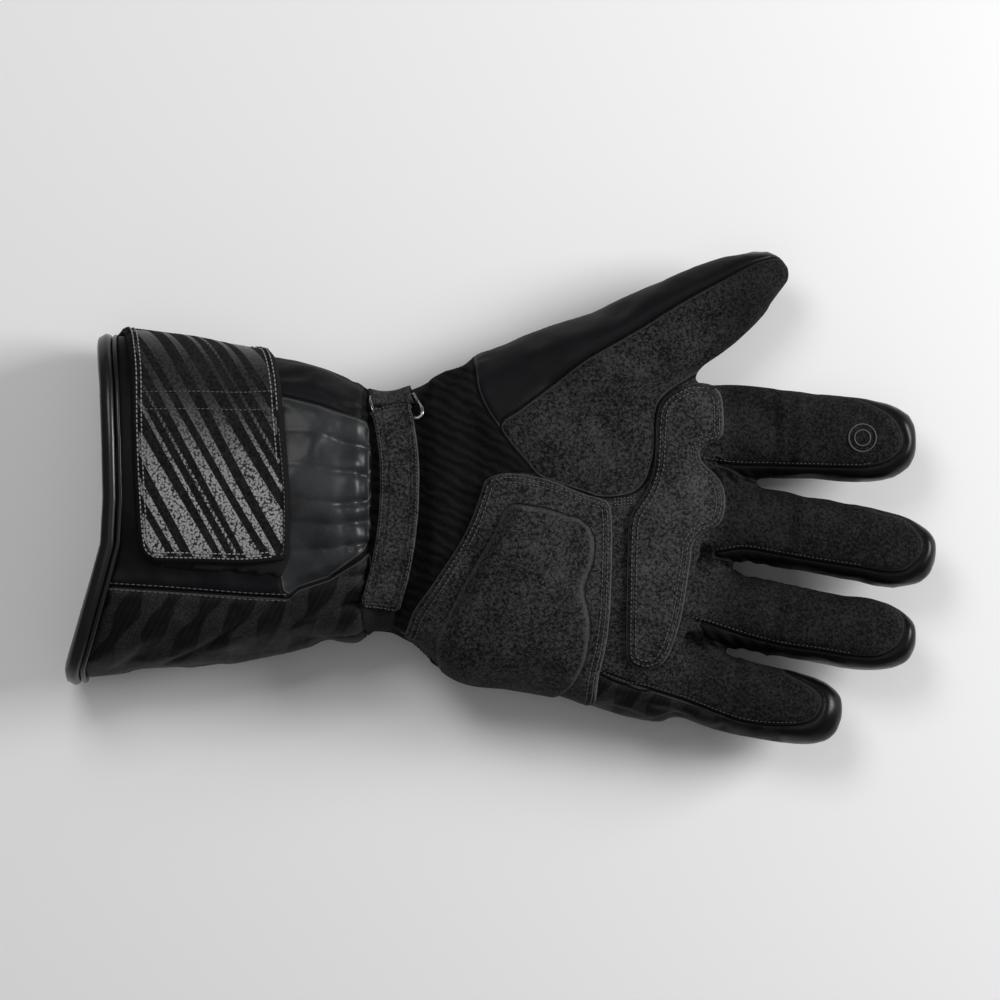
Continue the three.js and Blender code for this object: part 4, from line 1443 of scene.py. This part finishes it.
def flap_outline():
    """The flap's outline in x and arc length, from the palm round the thumb side."""
    points = plan(FLAP)
    arcs = to_arcs(points)
    top = max(arcs[0][1], arcs[-1][1]) + 24 * MM
    left, right = arcs[0][0], arcs[-1][0]
    return np.vstack([arcs, [(right - 1 * MM, top), (left + 0.5 * MM, top)]])


def flap_height(depth, flat):
    roll = quarter_round(depth, 1.3 * MM)
    bead = 0.5 * MM * ridge(depth, 1.3 * MM, 0.9 * MM)
    press = -0.45 * MM * ridge(depth, 3.0 * MM, 0.5 * MM)
    wave = np.array([0.5 * MM * noise.noise(Vector((u * 60, v * 60, 4.2))) for u, v in flat])
    return FLAP_LIFT + FLAP_THICKNESS * (0.45 + 0.55 * roll) + bead + press + wave * np.clip(depth / (6 * MM), 0, 1)


FLAP_LINE = smooth_line(flap_outline(), 0.8 * MM, closed=True)
flap = lay("closure_flap_cloth", FLAP_LINE, body_place(), flap_height, spacing=1.1 * MM, wall=2.2 * MM, relax=0)

# Flap stripes in turn, in mm: width, space after it, taper over its length
STRIPES = [(1.2, 2.4, 0.0), (4.6, 2.8, 0.02), (2.4, 3.4, -0.02), (6.4, 3.0, 0.03), (1.6, 2.6, 0.0)]


def stripe_depth(u, v):
    """Distance into the slanting stripes: broad and narrow bars in turn, leaning to the thumb side."""
    slant = math.radians(60)
    across = u * math.sin(slant) + v * math.cos(slant)
    best = np.full(len(u), -9.0)
    place = across.min()
    while place < across.max():
        for width, space, taper in STRIPES:
            middle = place + width / 2
            best = np.maximum(best, width / 2 - taper * (v + 5) - np.abs(across - middle))
            place += width + space
    return best


u, v, edge = (read_attribute(flap.data, name) for name in ("along_u", "along_v", "edge"))
fade = arc_at(float(plan_x(200)), float(plan([(0, 350)])[0, 1])) / MM
stripes = np.minimum(stripe_depth(u, v), edge - 2.6)
write_attribute(flap.data, "stripe", np.minimum(stripes, fade - v))
settle(flap, FLAP_STRIPES, "grained", "closure_flap")

FASTENER = [
    (170, 540), (160, 562), (172, 567), (215, 571), (235, 570), (243, 574),
    (252, 572), (262, 576), (270, 573), (280, 577), (286, 572), (284, 540),
]
fastener = lay(
    "flap_fastener_cloth", arc_outline(FASTENER), skin_place,
    rolled_edge(1.6 * MM, 0.8 * MM), spacing=1.2 * MM,
)
settle(fastener, FUZZ, "fuzzy", "flap_fastener")

# Patches on the palm

heel_arcs = to_arcs(plan(HEEL_PATCH))
heel_arcs[[corner[1] >= 700 for corner in HEEL_PATCH], 1] -= 10 * MM
heel_line = smooth_line(heel_arcs, MM, closed=True)
heel_patch = lay("heel_patch_cloth", heel_line, less_aside(skin_place), rolled_edge(1.8 * MM, 0.8 * MM), relax=10)
settle(heel_patch, PATCH_SUEDE, "suede", "heel_patch")
HEEL_TREE = tree_of(heel_patch)
PAD_FLANK = to_arcs(plan([(508, 504), (490, 535), (475, 560), (447, 610), (436, 640)]))


def pad_height(depth, flat):
    roll = quarter_round(depth, 3.4 * MM)
    dome = smoothstep(0, 26 * MM, depth)
    flank, _ = outline_distance(flat, PAD_FLANK, closed=False)
    return (5.0 * MM * roll + 1.4 * MM * dome) * (0.15 + 0.85 * smoothstep(0, 6.5 * MM, flank)) - 0.4 * MM


pad_line = arc_outline(HEEL_PAD)
heel_pad = lay("heel_pad_cloth", pad_line, less_aside(on_tree(HEEL_TREE, skin_place)), pad_height, relax=8)
settle(heel_pad, PAD_SUEDE, "suede", "heel_pad")

grip_line = smooth_line(plan(GRIP_PATCH), MM, closed=True)
grip_patch = lay("grip_patch_cloth", grip_line, drop_place, rolled_edge(2.1 * MM, 0.8 * MM), relax=10)
settle(grip_patch, PATCH_SUEDE, "suede", "grip_patch")
GRIP_TREE = tree_of(grip_patch)

# Wrist strap, webbing, wire loop and fuzzy patch

STRAP_WIDTH = 15.2 * MM


def ribbon(line, width):
    side = sideways_of(line) * width / 2
    end, half = line[-1], side[-1]
    ahead = np.array((half[1], -half[0])) / np.linalg.norm(half)
    rounded = [
        end - 1.6 * MM * ahead + half, end - 0.5 * MM * ahead + 0.86 * half, end + 0.6 * half,
        end - 0.6 * half, end - 0.5 * MM * ahead - 0.86 * half, end - 1.6 * MM * ahead - half,
    ]
    return np.vstack([(line + side)[:-1], rounded, (line - side)[:-1][::-1]])


strap_middle = smooth_line(plan(STRAP_MIDDLE), 3 * MM)
strap_outline = ribbon(strap_middle, STRAP_WIDTH)
strap_arcs = smooth_line(to_arcs(strap_outline), MM, closed=True)


def strap_height(depth, flat):
    bead = 0.6 * MM * ridge(depth, 0.9 * MM, 0.7 * MM)
    press = -0.5 * MM * ridge(depth, 2.3 * MM, 0.4 * MM)
    return 0.9 * MM + 1.8 * MM * quarter_round(depth, 1.0 * MM) + bead + press


strap = lay("wrist_strap_cloth", strap_arcs, skin_place, strap_height, spacing=0.8 * MM, wall=2.0 * MM, relax=30)
settle(strap, PATCH_SUEDE, "suede", "wrist_strap")

WEBBING = [(366, 384), (409, 384), (411, 392), (413, 404), (372, 407), (369, 396)]
webbing_arcs = to_arcs(plan(WEBBING))
webbing_arcs[:2, 1] += 17 * MM


def webbing_height(depth, flat):
    return 0.2 * MM + rolled_edge(2.5 * MM, 1.6 * MM)(depth, flat)


webbing = lay(
    "strap_webbing_cloth", smooth_line(webbing_arcs, MM, closed=True), body_place(-1.6 * MM),
    webbing_height, spacing=0.9 * MM, wall=2.0 * MM, relax=30,
)
settle(webbing, PLAIN_SUEDE, "suede", "strap_webbing")

LOOP_LINE = [
    (376, 394), (371, 400), (374, 411), (380, 416), (400, 417),
    (417, 419), (423, 414), (420, 403), (413, 394), (394, 392),
]
loop_flat = smooth_line(to_arcs(plan(LOOP_LINE)), 1.2 * MM, closed=True)
loop_points = []
for x, arc in loop_flat:
    place, outward = skin_place(x, arc)
    lift = 0.4 if 376 < x / STEP + PLAN_MIDDLE[0] < 412 else 1.6
    loop_points.append(place + outward * (lift * MM))
bm = bmesh.new()
loop_points = smooth_line(np.array(loop_points), 1.5 * MM, closed=True)
closed_tube(bm, loop_points, 0.75 * MM, sides=10)
settle(finish_tube("strap_loop_wire", bm), WIRE, "metal", "strap_loop")

STRAP_PATCH = [(364, 592), (394, 592), (396, 618), (389, 634), (370, 640), (363, 622)]
strap_patch = lay(
    "strap_patch_cloth", arc_outline(STRAP_PATCH), skin_place,
    rolled_edge(1.5 * MM, 0.8 * MM), spacing=1.0 * MM,
)
settle(strap_patch, FUZZ, "fuzzy", "strap_patch")

# Stitching

bm = bmesh.new()
FLAP_TREE = tree_of(flap)
STRAP_TREE = tree_of(strap)
for inset in (1.9 * MM, 3.7 * MM):
    line = inset_line(heel_line, inset)
    stitch_row(bm, line, on_tree(HEEL_TREE, above))
    line = inset_line(grip_line, inset)
    stitch_row(bm, np.vstack([line, line[:1]]), drop_on(GRIP_TREE))
stitch_row(bm, inset_line(strap_arcs, 1.3 * MM), on_tree(STRAP_TREE, above), length=0.9 * MM, radius=0.22 * MM)
for y in (499, 502, 505):
    stitch_row(bm, plan([(612, y), (636, y - 2)]), drop_place, length=0.8 * MM, gap=0.4 * MM)
for radius in (5.2, 3.0):
    ring = [
        plan([(861, 438)])[0] + radius * MM * np.array((math.cos(a), math.sin(a)))
        for a in np.linspace(0, 2 * math.pi, 40, endpoint=False)
    ]
    closed_tube(bm, [drop(x, y, 0.16 * MM) for x, y in ring], 0.3 * MM, sides=6)
settle(finish_tube("palm_stitches", bm), THREAD, "suede")

bm = bmesh.new()
for inset in (2.2 * MM, 3.9 * MM):
    line = inset_line(FLAP_LINE, inset)
    stitch_row(bm, part_of(line, lambda x, arc: x < plan_x(280)), on_tree(FLAP_TREE, above), radius=0.3 * MM)
settle(finish_tube("flap_edge_stitches", bm), PALE_THREAD, "grained")
bm = bmesh.new()
stitch_row(
    bm, part_of(inset_line(FLAP_LINE, 2.2 * MM), lambda x, arc: x > plan_x(281)), on_tree(FLAP_TREE, above),
)
for y in (398, 414):
    line = to_arcs(plan([(144, y), (210, y), (278, y)]))
    stitch_row(bm, line, on_tree(FLAP_TREE, above))
settle(finish_tube("flap_cross_stitches", bm), THREAD, "grained")

bm = bmesh.new()


def offset_line(line, distance):
    line = smooth_line(line, MM)
    return line + sideways_of(line) * distance


for distance in (1.2 * MM, -1.2 * MM):
    stitch_row(bm, offset_line(plan(SEAM_CUFF_LOW), distance), drop_place, length=1.6 * MM)
for seam in (SEAM_INDEX[:5], SEAM_MIDDLE[:6], SEAM_RING[:6], SEAM_LITTLE[:9]):
    stitch_row(bm, offset_line(plan(seam), 1.3 * MM), drop_place, length=0.8 * MM, gap=0.8 * MM, radius=0.18 * MM)
settle(finish_tube("seam_stitches", bm), THREAD, "softshell")

# Camera, light and floor

def look(name, place, target, power, size):
    """A square lamp that points at its target."""
    data = bpy.data.lights.new(name, "AREA")
    data.energy, data.size = power, size
    lamp = bpy.data.objects.new(name, data)
    lamp.location = place
    lamp.rotation_euler = (Vector(target) - Vector(place)).to_track_quat("-Z", "Y").to_euler()
    bpy.context.collection.objects.link(lamp)


# Lights: name, place, target, power, size
LIGHTS = [
    ("key", (1.15, 0.3, 0.6), (0.02, 0, 0.02), 16, 0.5),
    ("cuff_light", (-0.3, 0.6, 1.1), (-0.08, 0, 0.02), 4.5, 0.5),
    ("soft_top", (0, 0, 1.9), (0, 0, 0), 2.6, 1.4),
]
for name, place, target, power, size in LIGHTS:
    look(name, place, target, power, size)
world = bpy.data.worlds.new("studio")
world.use_nodes = True
world.node_tree.nodes["Background"].inputs[0].default_value = (1, 1, 1, 1)
world.node_tree.nodes["Background"].inputs[1].default_value = 0.16
bpy.context.scene.world = world

bm = bmesh.new()
bmesh.ops.create_grid(bm, x_segments=2, y_segments=2, size=2.5)
bmesh.ops.translate(bm, verts=bm.verts, vec=(0, 0, -0.0002))
floor = new_object("floor", bm)
paint = Paint("floor_paper")
floor.data.materials.append(paint.finish(((0.93, 0.93, 0.93), 0.9, None)))

# Camera straight above: height, the height at which the plan fills the picture, sensor width, picture width in steps
CAMERA_HEIGHT, SHARP_HEIGHT, SENSOR, PICTURE = 2.5, 0.025, 36, 1000
camera_data = bpy.data.cameras.new("camera")
camera_data.sensor_width = SENSOR
camera = bpy.data.objects.new("camera", camera_data)
bpy.context.collection.objects.link(camera)
camera.location = (*plan([(PICTURE / 2, PICTURE / 2)])[0], CAMERA_HEIGHT)
camera_data.lens = SENSOR * (CAMERA_HEIGHT - SHARP_HEIGHT) / (PICTURE * STEP)
bpy.context.scene.camera = camera
bpy.context.scene.view_settings.view_transform = "Standard"
